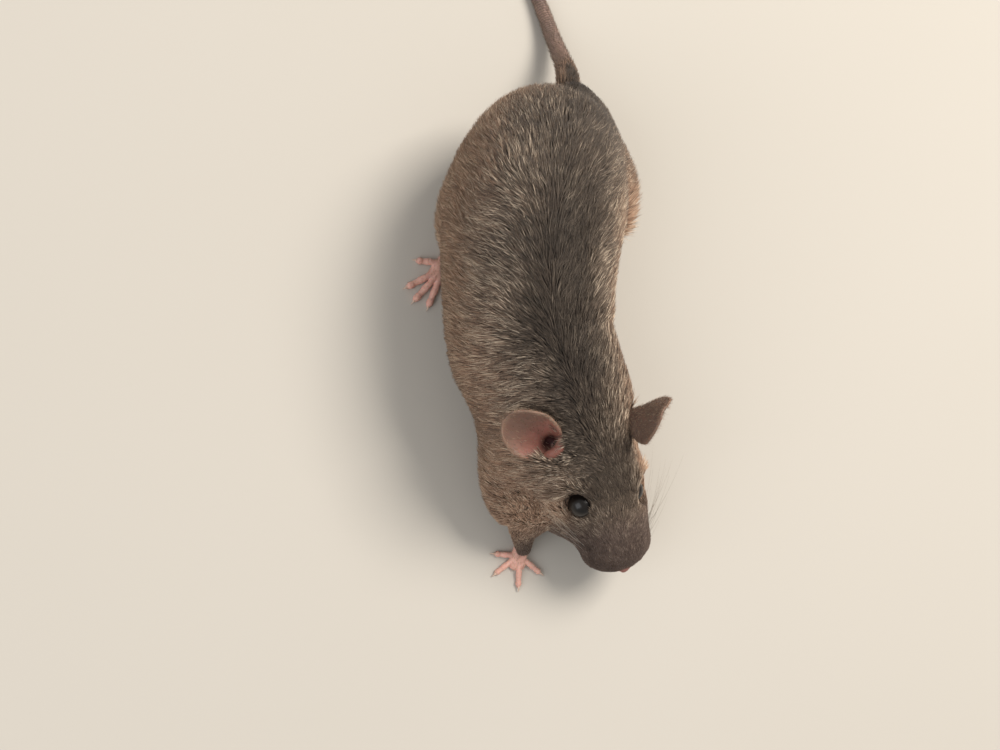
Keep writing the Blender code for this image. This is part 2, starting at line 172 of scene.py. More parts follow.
def steady(centres: Array, reach: float = 3.0) -> Array:
    """A calmer copy of an axis, whose rings never cross.

    Args:
        centres: points of the axis.
        reach: how far along the axis each point is averaged.

    Returns:
        Means of the points round each, weighted by e to the minus square of distance over reach.
    """
    length = lengths_along(centres)
    weight = hill(length[:, None] - length, reach) * np.gradient(length)
    return weight @ centres / weight.sum(1, keepdims=True)


def oval(centres: Array, left: Array, up: Array, width: Array, rise: Array,
         drop: Array, sides: int, belly: float = 2.0) -> Array:
    """Rings round an axis: half ellipses above it, and fuller curves of power belly below it.

    Args:
        centres: points of the axis.
        left: direction to the left at each.
        up: direction upwards at each.
        width: half width of each ring.
        rise: height above the axis.
        drop: depth below it.
        sides: points in a ring.
        belly: power of the curve below, 2 for an ellipse.

    Returns:
        A grid of points, one ring for each centre: centre + width cos(angle) left + height sin(angle) up.
    """
    angle = np.linspace(0.0, 2 * pi, sides, endpoint=False)
    power = np.where(np.sin(angle) < 0, 2.0 / belly, 1.0)
    across = np.sign(np.cos(angle)) * np.abs(np.cos(angle)) ** power
    above = np.sign(np.sin(angle)) * np.abs(np.sin(angle)) ** power
    height = np.outer(rise, np.maximum(above, 0)) + np.outer(drop, np.minimum(above, 0))
    return (centres[:, None] + left[:, None] * np.outer(width, across)[..., None]
            + up[:, None] * height[..., None])


def grid_normals(grid: Array) -> Array:
    """Outward normals of a tube of rings: the slope round it crossed with the slope along it.

    Args:
        grid: points, ring by ring.

    Returns:
        A direction for each point.
    """
    along = np.gradient(grid, axis=0)
    round_it = np.roll(grid, -1, axis=1) - np.roll(grid, 1, axis=1)
    normal = unit(np.cross(round_it, along))
    outward = grid - grid.mean(axis=1, keepdims=True)
    return normal * np.sign(np.sum(normal * outward))


def tube_faces(count: int, sides: int) -> tuple[Array, Array]:
    """Faces of a tube whose ends are closed by fans to two extra points.

    Args:
        count: number of rings.
        sides: points in each ring.

    Returns:
        Quads between neighbouring rings, and triangles to the points count*sides and count*sides + 1.
    """
    number = np.arange(count * sides).reshape(count, sides)
    beside = np.roll(number, -1, axis=1)
    quads = np.stack((number[:-1], beside[:-1], beside[1:], number[1:]), -1).reshape(-1, 4)
    ends = np.full((2, sides), count * sides) + [[0], [1]]
    first = np.stack((ends[0], beside[0], number[0]), -1)
    final = np.stack((ends[1], number[-1], beside[-1]), -1)
    return quads, np.vstack((first, final))


def nearest_station(points: Array, centres: Array) -> Array:
    """Which point of an axis is nearest to each given point: the least centre^2 - 2 point . centre.

    Args:
        points: places to look from.
        centres: points of the axis.

    Returns:
        Numbers of the centres, found in blocks of whole arrays.
    """
    found = np.empty(len(points), int)
    square = np.sum(centres**2, axis=1)
    for start in range(0, len(points), BLOCK):
        block = points[start:start + BLOCK]
        found[start:start + BLOCK] = np.argmin(square - 2 * block @ centres.T, axis=1)
    return found


def turn_round(away: Array, aside: Array, up: Array) -> Array:
    """The angle round an axis from its upward direction towards the one aside, from -pi to pi."""
    return np.arctan2(dot(away, aside)[:, 0], dot(away, up)[:, 0])


@dataclass(frozen=True)
class Waves:
    """A smooth random field: a sum of cosine waves with random directions between two wavelengths."""

    shortest: float
    longest: float
    count: int
    seed: int

    def parts(self) -> tuple[Array, Array]:
        """Draws the waves.

        Returns:
            Their wave vectors and phases, the same in every run.
        """
        rng = np.random.default_rng(self.seed)
        ways = unit(rng.normal(size=(self.count, 3)))
        lengths = rng.uniform(self.shortest, self.longest, (self.count, 1))
        return ways * 2 * pi / lengths, rng.uniform(0, 2 * pi, self.count)

    def value(self, points: Array) -> Array:
        """The field, about -1 to 1: the waves' sum over 1.6 times the root of half their number."""
        vectors, phases = self.parts()
        return np.cos(points @ vectors.T + phases).sum(1) / np.sqrt(self.count / 2.0) / 1.6

    def slope(self, points: Array) -> Array:
        """Which way the nearest crest lies, and how steeply the field rises to it.

        Args:
            points: places in the field.

        Returns:
            The field's gradient over its own root mean square.
        """
        vectors, phases = self.parts()
        steep = -np.sin(points @ vectors.T + phases) @ vectors
        return steep / np.sqrt(np.mean(np.sum(steep**2, axis=1)))


# ---- meshes


def make_mesh(name: str, points: Array, faces: list[Array]) -> Mesh:
    """Puts points and faces of equal sizes into a new mesh.

    Args:
        name: the mesh's name.
        points: vertices.
        faces: arrays of faces, each with a fixed number of corners.

    Returns:
        The mesh, in the units of the points.
    """
    mesh = bpy.data.meshes.new(name)
    mesh.vertices.add(len(points))
    mesh.vertices.foreach_set("co", np.asarray(points, np.float32).ravel())
    corners = np.concatenate([part.ravel() for part in faces]).astype(np.int32)
    sizes = np.concatenate([np.full(len(part), part.shape[1]) for part in faces])
    mesh.loops.add(len(corners))
    mesh.loops.foreach_set("vertex_index", corners)
    mesh.polygons.add(len(sizes))
    mesh.polygons.foreach_set("loop_start", np.concatenate(([0], np.cumsum(sizes)[:-1])).astype(np.int32))
    mesh.update(calc_edges=True)
    mesh.validate()
    mesh.shade_smooth()
    return mesh


def new_object(name: str, mesh: bpy.types.ID) -> Object:
    """Puts a mesh, lamp or camera into the scene.

    Args:
        name: the object's name.
        mesh: what it shows.

    Returns:
        The object, at the origin.
    """
    made = bpy.data.objects.new(name, mesh)
    bpy.context.scene.collection.objects.link(made)
    return made


def new_piece(name: str, points: Array, faces: list[Array], finish: Material) -> Object:
    """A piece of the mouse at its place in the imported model, in metres.

    Args:
        name: the piece's name.
        points: vertices, in this script's millimetres.
        faces: arrays of faces, each with a fixed number of corners.
        finish: its material.

    Returns:
        The piece's object.
    """
    mesh = make_mesh(name, (points + SHIFT) * MM, faces)
    mesh.materials.append(finish)
    piece = new_object(name, mesh)
    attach(piece, "root")
    log.info("%s: %d faces", name, len(mesh.polygons))
    return piece


def set_values(mesh: Mesh, name: str, values: Array) -> None:
    """Stores one number for each vertex under a name that materials read."""
    layer = mesh.attributes.new(name, "FLOAT", "POINT")
    layer.data.foreach_set("value", np.asarray(values, np.float32))


def numbers_of(items: bpy.types.bpy_prop_collection, name: str, width: int = 1,
               kind: type = np.int32) -> Array:
    """One property of all of a mesh's vertices, edges, loops or faces.

    Args:
        items: the mesh's items.
        name: the property.
        width: how many numbers each item has.
        kind: the numbers' type.

    Returns:
        A number for each item, or a row of numbers.
    """
    flat = np.empty(len(items) * width, kind)
    items.foreach_get(name, flat)
    return flat.reshape(-1, width) if width > 1 else flat


def vectors_of(mesh: Mesh, name: str) -> Array:
    """The places (co) or the normals (normal) of the mesh's vertices."""
    return numbers_of(mesh.vertices, name, 3, np.float32).astype(float)


@dataclass
class Shell:
    """A closed surface: its points, its quads and triangles, and the region they belong to."""

    points: Array
    faces: list[Array]
    region: Region

    @classmethod
    def loft(cls, rings: Array, region: Region) -> "Shell":
        """A shell through rings, closed by fans to the middles of the end rings.

        Args:
            rings: a grid of points, ring by ring.
            region: what it is part of.

        Returns:
            The shell, facing outwards.
        """
        count, sides = rings.shape[:2]
        ends = np.array((rings[0].mean(0), rings[-1].mean(0)))
        points = np.vstack((rings.reshape(-1, 3), ends))
        quads, fans = tube_faces(count, sides)
        triangles = np.vstack((quads[:, (0, 1, 2)], quads[:, (0, 2, 3)], fans))
        a, b, c = (points[triangles[:, k]] for k in range(3))
        if np.sum(np.cross(a, b) * c) < 0:
            quads, fans = quads[:, ::-1], fans[:, ::-1]
        return cls(points, [quads, fans], region)

    @classmethod
    def rod(cls, centres: Array, radius: Array, sides: int, region: Region) -> "Shell":
        """A closed round rod of changing radius along a path, with rounded ends."""
        return cls.loft(limb_grid(np.column_stack((centres, radius, radius)), 0.0, sides), region)


def gathered(shells: list[Shell]) -> tuple[Array, list[Array]]:
    """Puts several shells together.

    Args:
        shells: closed shells.

    Returns:
        All their points, and all their quads and triangles, numbered to fit.
    """
    starts = np.cumsum([0] + [len(shell.points) for shell in shells[:-1]])
    faces = [np.vstack([shell.faces[kind] + start for shell, start in zip(shells, starts)])
             for kind in (0, 1)]
    return np.vstack([shell.points for shell in shells]), faces


def joined(shells: list[Shell], name: str) -> Object:
    """One object that holds several shells, its faces numbered by region.

    Args:
        shells: closed shells.
        name: the object's name.

    Returns:
        The object, with one material slot for each region.
    """
    mesh = make_mesh(name, *gathered(shells))
    for region in Region:
        mesh.materials.append(bpy.data.materials.get(region.name) or bpy.data.materials.new(region.name))
    numbers = [np.full(len(shell.faces[kind]), shell.region.value) for kind in (0, 1) for shell in shells]
    mesh.polygons.foreach_set("material_index", np.concatenate(numbers).astype(np.int32))
    return new_object(name, mesh)


def united(target: Object, tool: Object) -> None:
    """Joins the tool's solid to the target's, and removes the tool.

    Args:
        target: the object that keeps the union.
        tool: the object that is added to it.
    """
    step = target.modifiers.new("join", "BOOLEAN")
    step.operation, step.solver, step.object = "UNION", "MANIFOLD", tool
    whole = bpy.data.meshes.new_from_object(target.evaluated_get(bpy.context.evaluated_depsgraph_get()))
    target.modifiers.clear()
    old, target.data = target.data, whole
    bpy.data.meshes.remove(old)
    bpy.data.meshes.remove(tool.data)


def softened(mesh: Mesh, places: Array, regions: tuple[Region, ...], spread: int,
             rounds: int) -> Array:
    """Relaxes the skin near the lines where regions meet, behind the face.

    Args:
        mesh: the joined skin.
        places: where its vertices are.
        regions: the regions that this is done for.
        spread: how many vertices to each side of a line move.
        rounds: how many times each moves half way to its neighbours' middle.

    Returns:
        The new places.
    """
    places = places.copy()
    edges = numbers_of(mesh.edges, "vertices", 2)
    corners = numbers_of(mesh.loops, "vertex_index")
    per_corner = np.repeat(*(numbers_of(mesh.polygons, name) for name in ("material_index", "loop_total")))
    kept = np.isin(per_corner, [region.value for region in regions])
    corners, per_corner = corners[kept], per_corner[kept]
    lowest, highest = np.full(len(places), len(Region)), np.full(len(places), -1)
    np.minimum.at(lowest, corners, per_corner)
    np.maximum.at(highest, corners, per_corner)
    weight = ((lowest != highest) & (highest >= 0)).astype(float)
    counts = np.bincount(edges.ravel(), minlength=len(places)).astype(float)

    def neighbour_sum(values: Array) -> Array:
        """Adds up what stands at each vertex's neighbours."""
        return (np.bincount(edges[:, 0], values[edges[:, 1]], len(places))
                + np.bincount(edges[:, 1], values[edges[:, 0]], len(places)))

    reach = weight * ramp(HEAD.measures(places)[0], *HEAD.face_end)
    for step in range(spread):
        near = neighbour_sum((reach > 0).astype(float)) > 0
        reach = np.where((reach == 0) & near, 1.0 - (step + 1) / (spread + 1), reach)
    for _ in range(rounds):
        middle = np.stack([neighbour_sum(places[:, k]) for k in range(3)], -1) / counts[:, None]
        places += 0.5 * reach[:, None] * (middle - places)
    return places


# ---- the mouse's form


@dataclass(frozen=True)
class HeadFrame:
    """Where the head is: the nose's tip, and which way the muzzle points, in degrees."""

    tip: Triple = (15.0, -36.4, 7.6)
    yaw: float = 17.0
    pitch: float = 8.0
    # How far behind the nose's tip the face's finely shaped part ends.
    face_end: tuple[float, float] = (12.5, 15.0)

    def axes(self) -> Trio:
        """The head's own directions.

        Returns:
            Forward, left and up.
        """
        yaw, pitch = radians(self.yaw), radians(self.pitch)
        forward = np.array((sin(yaw) * cos(pitch), -cos(yaw) * cos(pitch), -sin(pitch)))
        left = np.array((cos(yaw), sin(yaw), 0.0))
        return forward, left, np.cross(forward, left)

    def point(self, back: float, left: float, up: float) -> Array:
        """A place by distance behind the nose's tip, to the left and above the muzzle's line."""
        forward, leftward, upward = self.axes()
        return np.array(self.tip) - back * forward + left * leftward + up * upward

    def measures(self, points: Array) -> Trio:
        """Where points lie on the head.

        Args:
            points: any places.

        Returns:
            How far they are behind the nose's tip, to its left and above it.
        """
        forward, leftward, upward = self.axes()
        away = points - np.array(self.tip)
        return -away @ forward, away @ leftward, away @ upward


HEAD = HeadFrame()
# The right eye's solid is this far behind the nose's tip, to the left and above. Its middle in the packed
# model gives the way from this script's own measures to the model's.
EYE_SOLID = (11.0, -5.7, 4.0)
SHIFT = np.mean(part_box("eye_right"), axis=0) / MM - HEAD.point(*EYE_SOLID)


@dataclass(frozen=True)
class Eye:
    """One eye: how far it lies behind the nose's tip, out and up, its radius, and half its lids' opening."""

    side: Side
    back: float
    out: float
    up: float
    radius: float = 1.95
    opening: float = 1.88
    # How near the opening's edge points gather, how thick the lid is, and how far from the gaze it runs out.
    gather: float = 0.9
    lid: float = 0.10
    lid_end: float = 3.6
    # How far inside the eyeball's middle plane the skin goes down behind the ball, and where it starts.
    hollow: float = 0.35
    step: float = 0.14
    # How far behind its middle, and out from the gaze, the eye moves the skin.
    depth: float = 2.5
    reach: float = 4.2

    def centre(self) -> Array:
        """The middle of the eyeball."""
        return HEAD.point(self.back, self.side.value * self.out, self.up)

    def gaze(self) -> Array:
        """The way the eye looks: out, a little forward and up."""
        forward, left, up = HEAD.axes()
        return unit(self.side.value * left * 0.80 + up * 0.52 + forward * 0.22)

    def lidded(self, points: Array) -> Array:
        """Shapes the skin round the eye, its points drawn to the opening's edge by gap^2 over the gather.

        Inside the opening the skin goes down behind the eyeball. Outwards it stands a lid's thickness over
        the ball, height = root of (radius^2 - distance^2), and runs out smoothly to the face.

        Args:
            points: skin points.

        Returns:
            The points, moved along the gaze.
        """
        away = points - self.centre()
        height = away @ self.gaze()
        flat = away - height[..., None] * self.gaze()
        first = np.linalg.norm(flat, axis=-1)
        near = (height > -self.depth) & (first < self.reach)
        gap = first - self.opening
        aside = self.opening + np.where(np.abs(gap) < self.gather, gap * np.abs(gap) / self.gather, gap)
        ball = np.sqrt(np.maximum(self.radius**2 - np.minimum(aside, self.radius * 0.985) ** 2, 0.0))
        rim = ball + self.lid + self.lid * hill(aside - self.opening - 0.25, 0.22)
        past = np.maximum(aside - self.opening - 0.15, 0.0)
        outer = np.clip(height, rim - 1.15 * past, rim + 0.75 * past)
        share = (1.0 - ramp(aside, self.opening + 0.5, self.lid_end)) * ramp(height, -self.depth, -1.6)
        inside = ramp(aside, self.opening - self.step, self.opening + 0.02)
        goal = np.where(aside < self.opening + 0.02, -self.hollow + (rim + self.hollow) * inside,
                        height + (outer - height) * share)
        goal = np.where(aside < self.opening - self.step, np.minimum(height, -self.hollow), goal)
        drawn = ((aside - first) / np.maximum(first, 1e-6))[..., None] * flat
        return points + np.where(near[..., None], (goal - height)[..., None] * self.gaze() + drawn, 0.0)


@dataclass(frozen=True)
class Body:
    """The body from nose to tail: cross-sections of the coat's outside, and the coat's depth."""

    # Distance behind the nose's tip, half width, rise and drop; then how far the axis lies down and right.
    head_rows: Rows = (
        (0.25, 1.9, 1.2, 1.2, 0, 0), (0.9, 3.2, 2.1, 2.1, 0, 0), (2.2, 4.6, 3.1, 3.2, 0, 0),
        (4, 5.4, 4, 4, 0, 0), (6.5, 6.1, 4.9, 4.7, 0, 0.3), (9, 6.8, 5.9, 5.5, 0, 0.6),
        (12, 7.4, 6.9, 6.3, 0, 0.9), (15, 8.7, 7.6, 7, 0, 1.7), (18, 10, 8.1, 7.6, -0.2, 2.7),
        (21, 11.3, 8.6, 8.4, -0.8, 3.7), (24, 12.2, 9, 9.3, -1.7, 4.8),
    )
    # x, y, z of the axis, half width, rise and drop.
    trunk_rows: Rows = (
        (1.5, -10.6, 13.3, 12.3, 9.6, 10), (-0.1, -7, 13.6, 12.5, 10.4, 10.4),
        (-1.4, -3.4, 13.7, 12.8, 11.1, 10.8), (-1.9, 2, 13.8, 13, 12, 11.2),
        (-1.9, 9, 14, 13.6, 12.8, 11.5), (-1.1, 16, 14, 14.1, 13.1, 11.4),
        (0.6, 22.6, 13.6, 13.6, 12.5, 10.7), (3.7, 28.2, 12.5, 11.1, 10, 9.3),
        (6.1, 32, 11.1, 7.7, 6.6, 7), (7, 35, 10.2, 4.6, 4.1, 4.3), (6.6, 37.8, 9.5, 2.4, 2.3, 2.3),
    )
    belly: float = 2.3
    sides: int = 144
    head_rings: int = 150
    trunk_rings: int = 110
    # Row number, then the coat's depth over the skin there.
    coat_depth: Rows = ((0, 0.02), (1, 0.05), (3, 0.14), (6, 0.28), (8, 0.50), (10, 0.80), (13, 1.20),
                        (19, 1.15), (21, 0.4))
    # Behind the nose's tip, to the left, above; the spreads of the swelling that way; and its height.
    swells: Rows = ((9.6, -6.8, -3.2, 3.6, 3, 2.8, 1.9), (9.6, 6.4, -3.2, 3.6, 3, 2.8, 1.2),
                    (12.4, -8.6, -3.2, 3.2, 3, 2.8, 2.4),
                    (14.2, -3.6, 6.4, 3, 2.4, 2.4, 0.35), (14.2, 2.6, 6.2, 3, 2.4, 2.4, 0.35))
    eyes: tuple[Eye, ...] = (Eye(Side.LEFT, 11.6, 3.1, 2.4), Eye(Side.RIGHT, 12.0, 5.7, 4.0))
    # Heights and depths of the muzzle's small forms, in the order of the sum that features() gives.
    lip_pad: float = 0.25
    whisker_pad: float = 0.55
    nose_pad: float = 0.55
    nostril: float = 0.50
    cleft: float = 0.42
    mouth: float = 0.38
    chin: float = 0.80
    # The nose's end is closed by rings that rise to this height.
    cap_rings: int = 15
    cap_rise: float = 0.30

    def table(self) -> Array:
        """The body's cross-sections.

        Returns:
            Rows from the nose to the tail's root: axis, half width, rise and drop.
        """
        head = [(*HEAD.point(back, -aside, -sag), width, rise, drop)
                for back, width, rise, drop, sag, aside in self.head_rows]
        return np.array(head + [tuple(row) for row in self.trunk_rows])

    def stations(self) -> Array:
        """Row positions of the rings, from 0 at the nose.

        Returns:
            Even steps, close together on the head and wider apart on the trunk.
        """
        neck = len(self.head_rows) - 1.0
        last = len(self.head_rows) + len(self.trunk_rows) - 1.0
        head = neck * np.linspace(0.0, 1.0, self.head_rings, endpoint=False)
        return np.concatenate((head, np.linspace(neck, last, self.trunk_rings)))

    def depth_at(self, stations: Array) -> Array:
        """The coat's depth at these row positions."""
        return read_off(self.coat_depth, stations)

    def features(self, points: Array) -> Array:
        """How far the face's small forms stand out from the plain loft.

        Args:
            points: skin points.

        Returns:
            Heights, the sum of hills and grooves: cheeks and brows, pads of lips and whiskers, the nose, its
            nostrils, the cleft under it, the mouth and the chin.
        """
        back, left, up = HEAD.measures(points)
        swells = sum(high * hill(back - b, wb) * hill(left - l, wl) * hill(up - u, wu)
                     for b, l, u, wb, wl, wu, high in self.swells)
        pads = self.lip_pad * hill(back - 1.0, 1.6) * hill(np.abs(left) - 2.6, 1.5) * hill(up + 0.7, 1.8)
        pads += (self.whisker_pad * hill(back - 3.0, 1.8) * hill(np.abs(left) - 4.1, 1.8)
                 * hill(up + 0.6, 2.0))
        nose = self.nose_pad * hill(left, 1.1) * hill(up - 0.35, 0.95) * ramp(-back, -2.0, -0.9)
        nostril = -self.nostril * self.nose(points)[1]
        cleft = -self.cleft * hill(left, 0.28) * ramp(-up, 0.3, 0.9) * ramp(-back, -3.2, -1.9)
        line = -2.0 - 0.10 * back
        mouth = -self.mouth * hill(up - line, 0.22) * ramp(back, 0.9, 1.6) * ramp(-back, -7.5, -5.8)
        chin = -self.chin * ramp(line - up, 0.0, 0.8) * ramp(-back, -4.2, -1.4)
        return swells + pads + nose + nostril + cleft + mouth + chin

    def nose(self, points: Array) -> tuple[Array, Array]:
        """The nose's bare skin and its nostrils.

        Args:
            points: points on the face.

        Returns:
            Masks of the bare skin, an oval at the muzzle's end, and of the two nostrils.
        """
        back, left, up = HEAD.measures(points)
        oval_share = np.hypot(left / 1.3, (up - 0.3) / 1.05)
        bare = (1.0 - ramp(back, 0.9, 1.5)) * (1.0 - ramp(oval_share, 0.85, 1.15))
        nostril = (hill(np.abs(left) - 0.66 - 0.35 * (up - 0.1), 0.24) * hill(up - 0.1, 0.42)
                   * (1.0 - ramp(back, 1.0, 1.6)))
        return bare, nostril

    def shell(self) -> Shell:
        """The body's skin: its outline drawn in by the coat's depth, with the face's forms on it.

        Returns:
            The skin, its nose closed by rings that rise by 1 - share^2 of the cap's height.
        """
        stations = self.stations()
        rows = curve_at(self.table(), stations)
        _, left, up = ring_axes(steady(rows[:, :3]))
        depth = self.depth_at(stations)
        size = [np.maximum(rows[:, k] - depth, 0.5 * rows[:, k]) for k in (3, 4, 5)]
        grid = oval(rows[:, :3], left, up, *size, self.sides, self.belly)
        share = np.linspace(0.04, 0.95, self.cap_rings)[:, None, None]
        middle = grid[:1].mean(1, keepdims=True)
        cap = middle + share * (grid[:1] - middle) + self.cap_rise * (1.0 - share**2) * HEAD.axes()[0]
        grid = np.concatenate((cap, grid))
        normals = grid_normals(grid)
        grid = grid + normals * self.features(grid)[..., None]
        for eye in self.eyes:
            grid = eye.lidded(grid)
        for ear in EARS:
            grid = ear.hollowed(grid)
        return Shell.loft(grid, Region.BODY)

    def axis(self, count: int = 400) -> tuple[Array, Array]:
        """Row positions and rows along the axis, for finding what part of the body a point is on."""
        stations = np.linspace(0.0, len(self.head_rows) + len(self.trunk_rows) - 1.0, count)
        return stations, curve_at(self.table(), stations)


BODY = Body()


@dataclass(frozen=True)
class Limb:
    """A leg or part of one: x, y, z, half width and half depth along its axis, and the coat's depth."""

    region: Region
    rows: Rows
    coat: tuple[float, float] = (1.35, 0.15)
    rings: int = 44
    sides: int = 40

    def table(self, count: int) -> Array:
        """Rows at count even steps along the limb."""
        rows = np.array(self.rows)
        return curve_at(rows, np.linspace(0.0, len(rows) - 1.0, count))

    def shell(self) -> Shell:
        """A loft of ellipses, drawn in by the coat's depth, with rounded ends."""
        table = self.table(self.rings)
        return Shell.loft(limb_grid(table, np.linspace(*self.coat, self.rings), self.sides), self.region)


def limb_grid(table: Array, inset: Array | float, sides: int) -> Array:
    """Rings of a limb: ellipses across its axis, and a flat dome of smaller ones beyond each end.

    Args:
        table: rows of x, y, z, half width and half depth.
        inset: how much smaller each ring is all round.
        sides: points in a ring.

    Returns:
        The grid of points; a dome's ring at angle a is cos(a) as wide and stands 0.6 sin(a) beyond the end.
    """
    _, left, up = ring_axes(table[:, :3])
    width, height = (np.maximum(table[:, k] - inset, 0.35 * table[:, k]) for k in (3, 4))
    rings = oval(table[:, :3], left, up, width, height, height, sides)
    domes = []
    for end, inner, angles in ((0, 1, (72, 48, 24)), (-1, -2, (24, 48, 72))):
        middle = table[end, :3]
        beyond = 0.6 * width[end] * unit(middle - table[inner, :3])
        domes.append([middle + beyond * sin(a) + (rings[end] - middle) * cos(a) for a in np.radians(angles)])
    return np.concatenate((domes[0], rings, domes[1]))


LIMBS = (
    Limb(Region.FORELEG_RIGHT, (
        (-2.6, -12.8, 12, 4.4, 4.8), (-3.7, -16.9, 11, 5.7, 5.9), (-3.4, -21.2, 9.2, 5.9, 5.4),
        (-1.6, -25.2, 7.6, 6, 4.8), (0.4, -28.6, 6.3, 5, 3.7), (0.3, -31, 4.4, 2.4, 2.2),
        (1.1, -33.6, 1.9, 1.2, 1.1))),
    Limb(Region.FORELEG_LEFT, (
        (6.2, -9.6, 12, 2.8, 4.2), (8.6, -11.2, 10.2, 4.2, 5.2), (10.8, -12.8, 8, 4, 4.6),
        (12.4, -14.6, 6.2, 3, 3.4), (12.3, -17, 4.4, 2.1, 2.3), (12.3, -18.6, 3.2, 1.7, 1.8),
        (12.5, -20.2, 1.9, 1.5, 1.3))),
    Limb(Region.THIGH_RIGHT, (
        (-3, 26.5, 13, 4.6, 5.4), (-6, 23.4, 12, 6.6, 7.8), (-8.8, 18.6, 10.6, 6.6, 7.6),
        (-10.6, 13.8, 8.6, 5, 5.6), (-11.2, 10.4, 7.2, 2.8, 3)), (1.1, 0.8)),
    Limb(Region.THIGH_LEFT, (
        (5.6, 29, 12.6, 4.6, 5.2), (8.2, 26.4, 11.8, 6.4, 7.4), (10.8, 23, 10.6, 6.2, 7.2),
        (12.6, 19.2, 8.8, 4.8, 5.4), (13.4, 16.2, 7.4, 2.8, 3)), (1.1, 0.8)),
    Limb(Region.SHANK_RIGHT, (
        (-10.8, 11.4, 8, 2.8, 3.4), (-9.4, 13.6, 5.9, 2.5, 2.9), (-7.6, 15.6, 3.9, 2, 2.2),
        (-6.2, 16.9, 1.8, 1.7, 1.6)), (0.8, 0.2), 30, 32),
    Limb(Region.SHANK_LEFT, (
        (12.6, 18.2, 8, 2.8, 3.4), (12, 21.2, 5.9, 2.5, 2.9), (11.4, 23.8, 3.9, 2, 2.2),
        (11, 25.6, 1.8, 1.7, 1.6)), (0.8, 0.2), 30, 32),
)
# The legs whose hairs follow them down; hairs on the thighs lie as on the body.
LEGS = (*LIMBS[:2], *LIMBS[4:])


